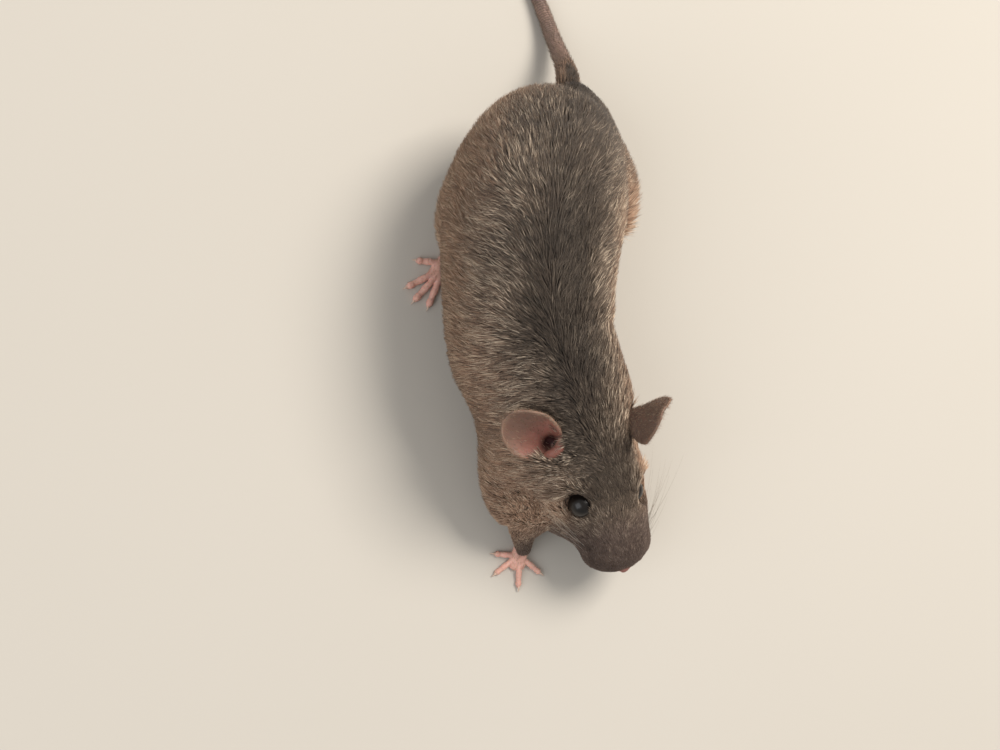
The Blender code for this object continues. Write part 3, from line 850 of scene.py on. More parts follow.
@dataclass(frozen=True)
class Ear:
    """One ear: its root behind the nose's tip, out and up, its long axis, and the way its hollow faces."""

    side: Side
    spot: Triple
    axis: Triple
    face: Triple
    length: float = 9.9
    width: float = 7.5
    root_thickness: float = 0.62
    rim_thickness: float = 0.34
    # Share of the length from the root, share of the half width, and degrees it curls round.
    rows: Rows = ((0.0, 0.40, 100), (0.18, 0.56, 84), (0.40, 0.88, 62), (0.64, 1, 48),
                  (0.84, 0.82, 40), (0.94, 0.58, 34), (1, 0.30, 30))
    # Where the canal opens: share of the length, and from -1 to 1 across. Then its reach along and across.
    canal: tuple[float, float] = (0.17, -0.05)
    canal_size: tuple[float, float] = (0.08, 0.5)
    canal_depth: float = 0.35
    # How far the sheet bends back along its length, and how far behind it the head's skin is pushed.
    bend: float = 0.08
    clearance: float = 1.1
    steps: int = 46
    columns: int = 44

    @property
    def region(self) -> Region:
        """The ear's region of the skin."""
        return Region.EAR_LEFT if self.side is Side.LEFT else Region.EAR_RIGHT

    def axes(self) -> Trio:
        """The ear's own directions.

        Returns:
            The way of its length, of its width, and the way its hollow faces, square to each other.
        """
        axis, face = unit(self.axis), unit(self.face)
        normal = unit(face - (face @ axis) * axis)
        return axis, np.cross(axis, normal), normal

    def root(self) -> Array:
        """Where the ear's axis leaves the head."""
        back, out, up = self.spot
        return HEAD.point(back, self.side.value * out, up)

    def surface(self, along: Array, across: Array) -> Array:
        """The middle sheet of the ear.

        A row of it is an arc: sideways = r sin(a), depth = r (1 - cos(a)), with a = across times the curl
        and r = half width / sin(curl). The sheet bends back by the length's share squared, waves a little,
        and has a dent where the canal opens.

        Args:
            along: shares of the row table, from 0 at the root to 1 at the tip.
            across: from -1 at one edge to 1 at the other.

        Returns:
            A grid of points.
        """
        rows = curve_at(np.array(self.rows), along * (len(self.rows) - 1))
        share, wide, curl = (rows[:, k][:, None] for k in range(3))
        curl = np.radians(curl)
        radius = self.width / 2 * wide / np.sin(np.minimum(curl, pi / 2))
        angle = across[None, :] * curl
        axis, side, normal = self.axes()
        fold = 0.16 * np.sin(share * 9.0) * across[None, :] * ramp(share, 0.2, 0.5)
        dent = (self.canal_depth * hill(share - self.canal[0], self.canal_size[0])
                * hill(across[None, :] - self.canal[1], self.canal_size[1]))
        depth = radius * (1 - np.cos(angle)) - self.bend * self.length * share**2 + fold - dent
        return (self.root() + self.length * share[..., None] * axis
                + (radius * np.sin(angle))[..., None] * side + depth[..., None] * normal)

    def cup(self, points: Array) -> tuple[Array, Array]:
        """Which points lie in the ear's hollow, and how far in front of its sheet they are.

        The sheet's depth is r - root of (r^2 - sideways^2). The hollow lies in front of it, within four
        fifths of the half width, from just below the root to two thirds of the length.

        Args:
            points: any points.

        Returns:
            A mask from 0 to 1, and distances along the way that the hollow faces.
        """
        axis, side, normal = self.axes()
        away = points - self.root()
        share = away @ axis / self.length
        wide = read_off(self.rows, share) * self.width / 2
        curl = np.radians(read_off(self.rows, share, 2))
        radius = wide / np.sin(np.minimum(curl, pi / 2))
        aside = away @ side
        sheet = radius - np.sqrt(np.maximum(radius**2 - np.minimum(np.abs(aside), 0.98 * radius) ** 2, 0.0))
        front = away @ normal - (sheet - self.bend * self.length * share**2)
        mouth = radius * (1 - np.cos(np.minimum(curl, pi / 2))) + 1.3
        inside = (1 - ramp(np.abs(aside) / wide, 0.72, 0.95)) * ramp(share, -0.05, 0.06)
        inside = inside * (1 - ramp(share, 0.62, 0.8)) * (1 - ramp(front, 0.8 * mouth, 1.25 * mouth))
        return inside * (front > -self.clearance - 0.1), front

    def hollowed(self, points: Array) -> Array:
        """Pushes the head's skin back behind the ear's sheet, so that the hollow stays open."""
        inside, front = self.cup(points)
        return points - (inside * np.maximum(front + self.clearance, 0.0))[..., None] * self.axes()[2]

    def found(self, points: Array) -> Trio:
        """Where points lie on the ear, by the nearest of 60 by 60 places of its sheet.

        Args:
            points: points near the ear.

        Returns:
            Share of the length, place across from -1 to 1, and distance in front of the sheet.
        """
        along, across = np.linspace(0, 1, 60), np.linspace(-1, 1, 60)
        sheet = self.surface(along, across)
        normal = unit(np.cross(np.gradient(sheet, axis=0), np.gradient(sheet, axis=1)))
        normal *= np.sign(np.sum(normal * self.axes()[2]))
        flat = sheet.reshape(-1, 3)
        index = nearest_station(points, flat)
        row, column = np.divmod(index, 60)
        front = dot(points - flat[index], normal.reshape(-1, 3)[index])[:, 0]
        places = [(number, each[0]) for number, each in enumerate(self.rows)]
        return read_off(places, along[row] * (len(places) - 1)), across[column], front

    def fold_shell(self) -> Shell:
        """The small fold before the canal: a rod that arches from lip to lip, with t from -1 to 1 across.

        Returns:
            The rod, which stands 1.35 + 0.60 (1 - t^2) off the root, with a radius of 0.85 - 0.35 t^2.
        """
        t = np.linspace(-1.0, 1.0, 24)[:, None]
        axis, side, normal = self.axes()
        centres = self.root() + axis * self.length * (0.065 + 0.085 * t**2)
        centres = centres + side * (0.31 * self.width * t) + normal * (1.35 + 0.60 * (1.0 - t**2))
        return Shell.rod(centres, 0.85 - 0.35 * t[:, 0] ** 2, 16, self.region)

    def shell(self) -> Shell:
        """The ear as a closed sheet: loops out along one face, round the edge and back along the other.

        Returns:
            The sheet, with a faint roll at its rim and a rounded tip.
        """
        along = np.linspace(0.0, 1.0, self.steps)
        even = np.linspace(-1, 1, self.columns)
        across = np.sin(np.linspace(-pi / 2, pi / 2, self.columns)) * 0.35 + even * 0.65
        middle = self.surface(along, across)
        down, over = np.gradient(middle, axis=0), np.gradient(middle, axis=1)
        normal = unit(np.cross(down, over))
        edge = np.maximum(ramp(np.abs(across), 0.90, 1.0), ramp(along, 0.93, 1.0)[:, None])
        thick = np.interp(along, (0, 0.4, 1), (self.root_thickness, self.rim_thickness, self.rim_thickness))
        roll = thick[:, None] * (1.0 + 0.35 * hill(edge - 0.5, 0.4) * ramp(along, 0.2, 0.5)[:, None]) / 2
        front = middle + normal * roll[..., None]
        back = middle - normal * roll[..., None]
        out = unit(over)
        first = middle[:, :1] - out[:, :1] * roll[:, :1, None]
        final = middle[:, -1:] + out[:, -1:] * roll[:, -1:, None]
        loops = np.concatenate((first, front, final, back[:, ::-1]), axis=1)
        way = unit(down[-1]).mean(0)
        core = np.concatenate((middle[-1, :1], middle[-1], middle[-1, -1:], middle[-1, ::-1]))
        tip = roll[-1].mean()
        caps = [core + (loops[-1] - core) * cos(a) + way * (tip * sin(a)) for a in (0.6, 1.1, 1.45)]
        return Shell.loft(np.concatenate((loops, np.array(caps))), self.region)


EARS = (
    Ear(Side.LEFT, (22.7, 3.9, 3.8), (0.30, -0.07, 0.95), (0.84, -0.45, -0.30)),
    Ear(Side.RIGHT, (22.1, 8.3, 6.4), (-0.867, 0.241, 0.437), (0.127, -0.74, 0.661)),
)


@dataclass(frozen=True)
class Tail:
    """The tail: x, y and lift off the floor of its axis, its radius at both ends, and its scales."""

    path: Rows = (
        (6, 36.6, 8.3), (6.5, 39.4, 7.3), (6.9, 43, 5), (6.7, 47, 2.4), (5.9, 51.4, 0.7),
        (4, 57.2, 0), (0.8, 64.2, 0), (-3.8, 71.6, 0), (-9.6, 78.6, 0), (-16.4, 84.8, 0),
        (-24.2, 90, 0), (-30.6, 93.2, 0),
    )
    root_radius: float = 1.62
    tip_radius: float = 0.42
    # How far its underside is pressed flat, and the distance from one ring of scales to the next.
    flat: float = 0.12
    scale: float = 0.45
    rings: int = 300
    sides: int = 22

    def axis(self, count: int) -> tuple[Array, Array]:
        """The tail's axis, with a radius that falls evenly from the root to the tip.

        Args:
            count: how many points it has.

        Returns:
            The points, and the radius at each.
        """
        steps = np.linspace(0.0, len(self.path) - 1.0, count)
        centres = curve_at(np.array(self.path), steps)
        radius = self.root_radius + (self.tip_radius - self.root_radius) * steps / steps[-1]
        centres[:, 2] += radius - self.flat
        return centres, radius

    def distance(self, points: Array) -> Array:
        """How far along the tail's axis each point is."""
        centres, _ = self.axis(600)
        return lengths_along(centres)[nearest_station(points, centres)]

    def shell(self) -> Shell:
        """The tail's skin.

        Returns:
            A tapered tube whose radius swells by a fiftieth of cos(2 pi length / scale).
        """
        centres, radius = self.axis(self.rings)
        swell = radius * (1.0 + 0.02 * np.cos(2 * pi * lengths_along(centres) / self.scale))
        return Shell.rod(centres, swell, self.sides, Region.TAIL)


@dataclass(frozen=True)
class Paw:
    """One paw: its heel or wrist, its aim in degrees from -Y towards +X, its sole and its toes."""

    name: str
    root: tuple[float, float]
    aim: float
    sole: float
    half_width: float
    height: float
    toe_radius: float
    # Degrees from the paw's own way, length, and how far along the sole the toe starts.
    toes: Rows
    # Share of the sole's length, then shares of its half width and of its height.
    sole_rows: Rows = ((0.0, 0.80, 1.0), (0.25, 0.86, 1.0), (0.5, 0.92, 0.9), (0.75, 1.0, 0.78),
                       (1.0, 0.9, 0.6))
    # Share of the toe's length, then its height and its thickness as shares of its radius.
    toe_rows: Rows = ((-0.25, 1.4, 1.0), (0.25, 1.6, 1.0), (0.48, 1.35, 1.08), (0.7, 1.05, 0.9),
                      (0.88, 1.0, 1.08), (1.0, 0.8, 0.62))
    # How far the paw is pressed into the floor, and how much slimmer it is than its rows.
    sink: float = 0.12
    slimmer: float = 0.03

    def toe_ways(self) -> list[tuple[Array, Array, float]]:
        """Where the toes are.

        Returns:
            Each toe's base, its direction on the floor, and its length.
        """
        aim = radians(self.aim)
        ahead, aside = np.array((sin(aim), -cos(aim))), np.array((cos(aim), sin(aim)))
        found = []
        for turn, reach, start in self.toes:
            way = np.array((sin(aim + radians(turn)), -cos(aim + radians(turn))))
            base = (np.array(self.root) + ahead * self.sole * start
                    + aside * self.half_width * 0.62 * np.clip(turn / 40.0, -1, 1))
            found.append((base, way, reach))
        return found

    def lofted(self, rows: list[tuple[float, ...]], count: int, sides: int, region: Region,
               joints: float = 0.0) -> Shell:
        """A rounded loft through rows of x, y, z, half width and half height.

        Args:
            rows: its cross-sections.
            count: number of rings.
            sides: points in a ring.
            region: what it is part of.
            joints: how much it swells, seven times along its length.

        Returns:
            The loft.
        """
        table = curve_at(np.array(rows), np.linspace(0.0, len(rows) - 1.0, count))
        table[:, 3:] *= 1.0 + joints * np.cos(np.linspace(0, 14 * pi, count))[:, None]
        return Shell.loft(limb_grid(table, self.slimmer, sides), region)

    def sole_shell(self) -> Shell:
        """The sole.

        Returns:
            A flattened loft from the heel to the ball of the paw.
        """
        aim = radians(self.aim)
        ahead = np.array((sin(aim), -cos(aim)))
        rows = [(*(np.array(self.root) + ahead * self.sole * share), self.height * low / 2 - self.sink,
                 self.half_width * wide, self.height * low / 2) for share, wide, low in self.sole_rows]
        return self.lofted(rows, 28, 28, Region.PAW)

    def toe_shells(self) -> list[Shell]:
        """The toes.

        Returns:
            Thin lofts with knuckles and rounded tips.
        """
        return [self.lofted([(*(base + way * reach * share), self.toe_radius * lift - self.sink,
                              self.toe_radius * thick, self.toe_radius * thick)
                             for share, lift, thick in self.toe_rows], 26, 16, Region.TOE, joints=0.035)
                for base, way, reach in self.toe_ways()]


FORE_TOES: Rows = ((-82, 2.8, 0.45), (-40, 3.3, 0.75), (12, 3.5, 0.85), (66, 3.4, 0.55))
HIND_TOES: Rows = ((-56, 3.4, 0.80), (-22, 4.9, 0.95), (-2, 5.2, 0.97), (18, 4.9, 0.95),
                   (44, 3.4, 0.82))
PAWS = (
    Paw("forepaw_right", (1, -33.4), -12, 2.6, 1.45, 1.8, 0.46, FORE_TOES),
    Paw("forepaw_left", (12.5, -20), 8, 2.6, 1.45, 1.8, 0.46, FORE_TOES),
    Paw("hindfoot_right", (-5.9, 17.2), -38, 11.4, 1.75, 2.2, 0.55, HIND_TOES),
    Paw("hindfoot_left", (10.9, 26.2), 8, 11.4, 1.75, 2.2, 0.55, HIND_TOES),
)


# ---- materials


def srgb(red: int, green: int, blue: int) -> tuple[float, float, float, float]:
    """A colour from screen values: ((c + 0.055) / 1.055) to the power 2.4 above 0.04045, c / 12.92 below."""
    shares = [c / 255.0 for c in (red, green, blue)]
    return (*(((c + 0.055) / 1.055) ** 2.4 if c > 0.04045 else c / 12.92 for c in shares), 1.0)


class Nodes:
    """Builds the nodes of one material or node group."""

    def __init__(self, tree: bpy.types.NodeTree) -> None:
        """Keeps the tree that nodes are added to."""
        self.tree = tree

    def add(self, kind: str, inputs: dict | None = None, **settings: object) -> bpy.types.Node:
        """A node of this kind.

        Args:
            kind: the node's class name, without its ShaderNode part.
            inputs: values or sockets, by the name or number of the input.
            settings: properties of the node.

        Returns:
            The node.
        """
        node = self.tree.nodes.new("ShaderNode" + kind)
        for key, value in settings.items():
            setattr(node, key, value)
        for key, value in (inputs or {}).items():
            if isinstance(value, Socket):
                self.tree.links.new(value, node.inputs[key])
            else:
                node.inputs[key].default_value = value
        return node

    def maths(self, operation: str, *values: float | Socket) -> Socket:
        """The result of a Math node on these values or sockets."""
        return self.add("Math", dict(enumerate(values)), operation=operation).outputs[0]

    def spread(self, value: Socket, low: float, high: float, first: float = 0.0,
               last: float = 1.0) -> Socket:
        """A value from low to high made one from first to last, and held there beyond."""
        return self.add("MapRange", {0: value, 1: low, 2: high, 3: first, 4: last}).outputs[0]

    def mixed(self, share: float | Socket, *tints: tuple | Socket, blend: str = "MIX") -> Socket:
        """Mixes two colours.

        Args:
            share: how much of the second there is.
            tints: two sockets, linear colours or screen values.
            blend: how they are mixed.

        Returns:
            The mixed colour.
        """
        tints = [srgb(*tint) if isinstance(tint, tuple) and len(tint) == 3 else tint for tint in tints]
        inputs = {0: share, 6: tints[0], 7: tints[1]}
        return self.add("Mix", inputs, data_type="RGBA", blend_type=blend).outputs[2]

    def shaded(self, colour: Socket, shade: Socket) -> Socket:
        """The colour times a grey of this shade."""
        grey = self.add("CombineColor", {0: shade, 1: shade, 2: shade}).outputs[0]
        return self.mixed(1.0, colour, grey, blend="MULTIPLY")

    def attribute(self, name: str) -> Socket:
        """A number that the mesh keeps at each vertex."""
        return self.add("Attribute", attribute_name=name, attribute_type="GEOMETRY").outputs["Fac"]

    def noise(self, scale: float, detail: float = 2.0, place: Socket | None = None) -> Socket:
        """Noise of this many waves per metre."""
        place = place or self.add("TexCoord").outputs["Object"]
        return self.add("TexNoise", {"Vector": place, "Scale": scale, "Detail": detail}).outputs["Fac"]


class Dressing(Nodes):
    """A new material: the builder of its nodes, with its Principled shader."""

    def __init__(self, name: str, roughness: float, **constants: float) -> None:
        """Makes the material.

        Args:
            name: the material's name.
            roughness: how matt it is.
            constants: other sockets of the shader, with underscores for spaces.
        """
        self.material = bpy.data.materials.new(name)
        self.material.use_nodes = True
        super().__init__(self.material.node_tree)
        self.shader = self.tree.nodes["Principled BSDF"]
        for key, value in {"Roughness": roughness, **constants}.items():
            self.shader.inputs[key.replace("_", " ")].default_value = value

    def coloured(self, colour: Socket) -> Material:
        """Joins the base colour, and gives the material."""
        self.tree.links.new(colour, self.shader.inputs["Base Color"])
        return self.material

    def bumped(self, height: Socket, strength: float, distance: float) -> None:
        """Joins a bump whose full height is this distance in metres."""
        bump = self.add("Bump", {"Height": height, "Strength": strength, "Distance": distance})
        self.tree.links.new(bump.outputs[0], self.shader.inputs["Normal"])

    def markings(self, **given: Socket) -> Socket:
        """Adds the coat's markings.

        Args:
            given: the group's inputs that are not numbers kept by the mesh.

        Returns:
            The coat's colour.
        """
        tree = bpy.data.node_groups.get("coat_markings") or marking_group()
        group = self.add("Group", node_tree=tree)
        for socket in group.inputs:
            name = socket.name.lower()
            self.tree.links.new(given.get(name) or self.attribute(name), socket)
        return group.outputs[0]


@dataclass(frozen=True)
class CoatColours:
    """The coat's colours: underfur, hair and pale tip on the back, on flanks and face, and on the muzzle."""

    under: Colour = (54, 44, 37)
    back: Colour = (128, 110, 94)
    back_tip: Colour = (232, 212, 188)
    # Redder in part as painted warm light reflected onto the flanks and cheeks, over the flanks' own pale
    # colour.
    flank: Colour = (183, 147, 121)
    flank_tip: Colour = (230, 206, 179)
    dorsal: Colour = (70, 60, 51)
    muzzle: Colour = (106, 89, 80)
    muzzle_under: Colour = (84, 68, 60)


def marking_group() -> bpy.types.NodeTree:
    """The coat's markings: a node group that skin and tufts share.

    Returns:
        The group: from masks of the dorsal band, the pale flanks and the muzzle, the hair's tone (which
            carries
        painted shade and highlight in part), and how far along the hair a point lies, it makes the colour.
    """
    tree = bpy.data.node_groups.new("coat_markings", "ShaderNodeTree")
    for name in ("Dorsal", "Pale", "Muzzle", "Tone", "Along"):
        tree.interface.new_socket(name, in_out="INPUT", socket_type="NodeSocketFloat")
    tree.interface.new_socket("Color", in_out="OUTPUT", socket_type="NodeSocketColor")
    work, colours = Nodes(tree), CoatColours()
    dorsal, pale, muzzle, tone, along = list(tree.nodes.new("NodeGroupInput").outputs)[:5]
    hair = work.mixed(pale, colours.back, colours.flank)
    hair = work.mixed(dorsal, hair, colours.dorsal)
    hair = work.mixed(muzzle, hair, colours.muzzle)
    tip = work.mixed(pale, colours.back_tip, colours.flank_tip)
    light = work.spread(tone, 0.60, 0.95)
    for share in (work.spread(dorsal, 0.0, 1.0, 1.0, 0.2), work.spread(muzzle, 0.0, 1.0, 1.0, 0.4),
                  work.spread(along, 0.3, 0.8)):
        light = work.maths("MULTIPLY", light, share)
    hair = work.mixed(light, hair, tip)
    under = work.mixed(muzzle, colours.under, colours.muzzle_under)
    grown = work.mixed(work.spread(along, 0.10, 0.65), under, hair)
    # Darker where the tone is low; the tone carries painted shade by the ears' bases.
    made = work.shaded(grown, work.spread(tone, 0.05, 0.5, 0.38, 1.0))
    tree.links.new(made, tree.nodes.new("NodeGroupOutput").inputs[0])
    return tree


@dataclass(frozen=True)
class FurFinish:
    """The finish of the coat's tufts."""

    roughness: float = 0.66
    sheen: float = 0.06

    def material(self) -> Material:
        """Hair coloured by the shared markings.

        Returns:
            The material.
        """
        work = Dressing("mouse_fur", self.roughness, Sheen_Weight=self.sheen, Sheen_Roughness=0.5,
                        Specular_IOR_Level=0.28)
        return work.coloured(work.markings())


@dataclass(frozen=True)
class UnderSkinFinish:
    """The furred skin, seen between the tufts as short dark underfur, and the bare nose."""

    nose: Colour = (142, 98, 90)
    # Near black: painted shade inside the nostrils' openings.
    nostril: Colour = (52, 30, 28)
    roughness: float = 0.85

    def material(self) -> Material:
        """Markings darkened to underfur, the nose, its nostrils darkened as painted shade, and a bump of
        short hairs.

        Returns:
            The material.
        """
        work = Dressing("mouse_underfur", self.roughness, Specular_IOR_Level=0.2)
        place = work.add("TexCoord").outputs["Object"]
        stretched = work.add("Mapping", {"Vector": place, "Scale": (3.2, 0.8, 3.2)}).outputs[0]
        fine = work.noise(900.0, 3.0, stretched)
        work.bumped(fine, 0.6, 0.0002)
        colour = work.markings(tone=work.maths("MULTIPLY", fine, 0.9),
                               along=work.spread(fine, 0.3, 0.7, 0.05, 0.5))
        colour = work.mixed(work.attribute("nose"), colour, self.nose)
        # The nostrils' dark mix is painted shade.
        return work.coloured(work.mixed(work.attribute("nostril"), colour, self.nostril))


@dataclass(frozen=True)
class PawSkinFinish:
    """The paws' thin bare skin: two tints that mix in soft spots, with fine creases."""

    tint: Colour = (206, 158, 142)
    blush: Colour = (222, 172, 156)
    crease: Colour = (150, 96, 84)

    def material(self) -> Material:
        """Skin with soft spots of a second tint, and creases that are darker and raised.

        Returns:
            The material.
        """
        work = Dressing("mouse_paw_skin", 0.5, Subsurface_Weight=0.12, Subsurface_Scale=0.0006,
                        Specular_IOR_Level=0.4)
        fine = work.noise(3200.0, 3.0)
        work.bumped(fine, 0.45, 0.00012)
        colour = work.mixed(work.spread(work.noise(420.0), 0.35, 0.68), self.tint, self.blush)
        return work.coloured(work.mixed(work.spread(fine, 0.56, 0.74, 0.0, 0.45), colour, self.crease))


@dataclass(frozen=True)
class EarSkinFinish:
    """An ear's skin: reddish hollow, brown-grey behind, a pale painted highlight at the rim, dark painted
    shade in the canal.
    """

    hollow: Colour = (140, 91, 79)
    disc: Colour = (119, 90, 77)
    behind: Colour = (112, 90, 78)
    # Pale: a painted highlight where the rim's edge catches the light.
    rim: Colour = (140, 114, 97)
    # Near black: painted shade down in the canal's opening.
    canal: Colour = (46, 16, 14)

    def material(self) -> Material:
        """Skin coloured by the ear's own places, stored on the mesh, and mottled, with a painted highlight
        on the rim and painted shade in the canal.

        Returns:
            The material.
        """
        work = Dressing("mouse_ear_skin", 0.55, Subsurface_Weight=0.2, Subsurface_Scale=0.0008,
                        Specular_IOR_Level=0.35)
        work.bumped(work.noise(2600.0), 0.35, 0.00012)
        colour = work.mixed(work.attribute("ear_hollow"), self.disc, self.hollow)
        colour = work.mixed(work.attribute("ear_front"), self.behind, colour)
        # The rim's pale mix is a painted highlight.
        colour = work.mixed(work.attribute("ear_rim_and_highlight"), colour, self.rim)
        # The canal's dark mix is painted shade.
        colour = work.mixed(work.attribute("ear_canal_shade"), colour, self.canal)
        return work.coloured(work.shaded(colour, work.spread(work.noise(700.0, 3.0), 0.3, 0.7, 0.86, 1.1)))


@dataclass(frozen=True)
class TailSkinFinish:
    """The tail: grey-pink skin with rings of small dark-edged scales."""

    tint: Colour = (126, 105, 95)
    blush: Colour = (146, 118, 106)
    edge: Colour = (74, 62, 56)

    def material(self) -> Material:
        """Rings that follow sin(2 pi length / scale); both colour and height share them.

        Returns:
            The material.
        """
        work = Dressing("mouse_tail_skin", 0.6, Specular_IOR_Level=0.35)
        turns = work.maths("MULTIPLY", work.attribute("tail_length"), 2 * pi / Tail.scale)
        rings = work.maths("SINE", turns)
        grain = work.maths("MULTIPLY", work.noise(3000.0), 0.6)
        work.bumped(work.maths("ADD", rings, grain), 0.5, 0.0001)
        colour = work.mixed(work.spread(work.noise(500.0), 0.35, 0.65), self.tint, self.blush)
        return work.coloured(work.mixed(work.spread(rings, 0.2, 0.95, 0.0, 0.6), colour, self.edge))


@dataclass(frozen=True)
class HornFinish:
    """A plain thin horn or hair: one tint with a little variation."""

    name: str
    tint: Colour
    darker: Colour
    roughness: float = 0.4

    def material(self) -> Material:
        """Horn whose two tints mix in small spots."""
        work = Dressing(self.name, self.roughness)
        return work.coloured(work.mixed(work.noise(1500.0), self.tint, self.darker))


@dataclass(frozen=True)
class EyeFinish:
    """A wet black eye with a faint brown depth: its two near blacks are linear values."""

    black: tuple[float, ...] = (0.0035, 0.003, 0.003, 1.0)
    brown: tuple[float, ...] = (0.012, 0.008, 0.006, 1.0)

    def material(self) -> Material:
        """Near black, very smooth, under a clear coat."""
        work = Dressing("mouse_eye", 0.30, Coat_Weight=0.22, Coat_Roughness=0.12, Specular_IOR_Level=0.25)
        return work.coloured(work.mixed(work.noise(900.0, 3.0), self.black, self.brown))


# ---- the pieces


@dataclass
class Skin:
    """The one skin of the whole mouse, which stands for every node of flesh."""

    replaced: tuple[str, ...] = (
        "trunk", "neck", "head", "nose", "ear_left", "ear_right", "foreleg_left", "foreleg_right",
        "forepaw_left", "forepaw_right", "hindleg_left", "hindleg_right", "hindfoot_left", "hindfoot_right",
        "tail_base", "tail_middle", "tail_tip")
    # Its vertices in this script's millimetres and its faces' regions, once it is built.
    places: Array = field(init=False)
    regions: Array = field(init=False)

    def build(self) -> Object:
        """Joins body, legs, ears, tail and paws into one closed skin and softens the joins.

        Returns:
            The skin's object, in metres, with its materials.
        """
        skin = joined([BODY.shell()], "skin")
        toes = [shell for paw in PAWS for shell in paw.toe_shells()]
        first = [limb.shell() for limb in LIMBS[:4]] + [ear.shell() for ear in EARS] + [Tail().shell()]
        second = [limb.shell() for limb in LIMBS[4:]] + [paw.sole_shell() for paw in PAWS[:2]]
        second += [ear.fold_shell() for ear in EARS]
        third = [paw.sole_shell() for paw in PAWS[2:]]
        for number, batch in enumerate((first, second, third, toes[::2], toes[1::2])):
            united(skin, joined(batch, f"joining_{number}"))
        mesh = skin.data
        places = softened(mesh, vectors_of(mesh, "co"), FURRED, spread=16, rounds=70)
        places = softened(mesh, places, tuple(Region), spread=4, rounds=8)
        places[:, 2] = np.maximum(places[:, 2], 0.0)
        self.places = places
        mesh.vertices.foreach_set("co", ((places + SHIFT) * MM).astype(np.float32).ravel())
        mesh.update()
        mesh.shade_smooth()
        self.mark(mesh)
        self.dress(mesh)
        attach(skin, "root")
        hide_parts(*self.replaced)
        log.info("skin: %d faces", len(mesh.polygons))
        return skin

    def mark(self, mesh: Mesh) -> None:
        """Stores the masks that the skin's materials read.

        Args:
            mesh: the skin.
        """
        nose, nostril = BODY.nose(self.places)
        values = {**CoatMap(self.places).masks(), **ear_masks(self.places), "nose": nose, "nostril": nostril,
                  "tail_length": Tail().distance(self.places)}
        for name, each in values.items():
            set_values(mesh, name, each)

    def dress(self, mesh: Mesh) -> None:
        """Gives each region its finish, one material slot for each finish.

        Args:
            mesh: the skin.
        """
        self.regions = numbers_of(mesh.polygons, "material_index")
        mesh.materials.clear()
        for finish in (UnderSkinFinish(), PawSkinFinish(), EarSkinFinish(), TailSkinFinish()):
            mesh.materials.append(finish.material())
        slots = {Region.PAW: 1, Region.TOE: 1, Region.EAR_LEFT: 2, Region.EAR_RIGHT: 2, Region.TAIL: 3}
        lookup = np.array([slots.get(region, 0) for region in Region], np.int32)
        mesh.polygons.foreach_set("material_index", lookup[self.regions])
        for region in Region:
            bpy.data.materials.remove(bpy.data.materials[region.name])


def ear_masks(places: Array) -> dict[str, Array]:
    """Where on an ear each point lies: in front, in the hollow, near the rim, in the canal.

    Args:
        places: points of the skin.

    Returns:
        Four masks from 0 to 1, nonzero only near the ears; the rim's places a painted highlight, the canal's
        painted shade.
    """
    found = {name: np.zeros(len(places)) for name in ("ear_front", "ear_hollow", "ear_rim_and_highlight", "ear_canal_shade")}
    for ear in EARS:
        near = np.linalg.norm(places - ear.root() - 0.5 * ear.length * ear.axes()[0], axis=1) < 11.0
        share, across, front = ear.found(places[near])
        found["ear_front"][near] = ramp(front, -0.02, 0.08)
        found["ear_hollow"][near] = 1.0 - ramp(share, 0.35, 0.75)
        # The rim's mask: it places the pale painted highlight, and keeps the down on the rim thick.
        rim = np.maximum(ramp(np.abs(across), 0.86, 0.98), ramp(share, 0.90, 0.98))
        found["ear_rim_and_highlight"][near] = 0.75 * rim * ramp(share, 0.25, 0.5)
        # The canal's mask: where the dark painted shade goes.
        canal = hill(share - ear.canal[0] + 0.03, 0.10) * hill(across - ear.canal[1], 0.5)
        canal = np.clip(1.6 * canal, 0, 1) * found["ear_front"][near]
        found["ear_canal_shade"][near] = canal * (1.0 - ramp(front, 0.3, 0.7))
    return found


# Where hairs are lighter, or darker where the gain is below 0: x, y, z, spread and gain.
# The darker spots round the left ear's base and in the gap between the right ear and the neck are painted
# shade.
HAIR_TONE_AND_SHADE_SPOTS: Rows = (
    (-3.1, -13.6, 18, 2.5, 0.34), (4.5, -27.3, 9.6, 2.8, 0.40), (3, -23.5, 12.6, 2.6, 0.16),
    (14.4, -22.9, 12.4, 3, 0.20), (5.4, -29.2, 8.8, 1.6, 0.28), (12, -12.5, 14, 5.5, -0.12),
    (-4.6, -15.5, 14.8, 3.2, -0.34), (15, 21, 12, 4.5, -0.14), (11.5, -13, 15.5, 4.5, -0.15),
    (-6.5, -4.6, 16, 4.5, 0.12), (2, 26, 19, 7, -0.07))
# The fuzz behind the right ear, which is pale, and the dip between cheek and muzzle, which tufts rise from.
BEHIND_EAR = HAIR_TONE_AND_SHADE_SPOTS[0]
CHEEK_DIP = (4.4, -28.2, 9.3, 2.6)


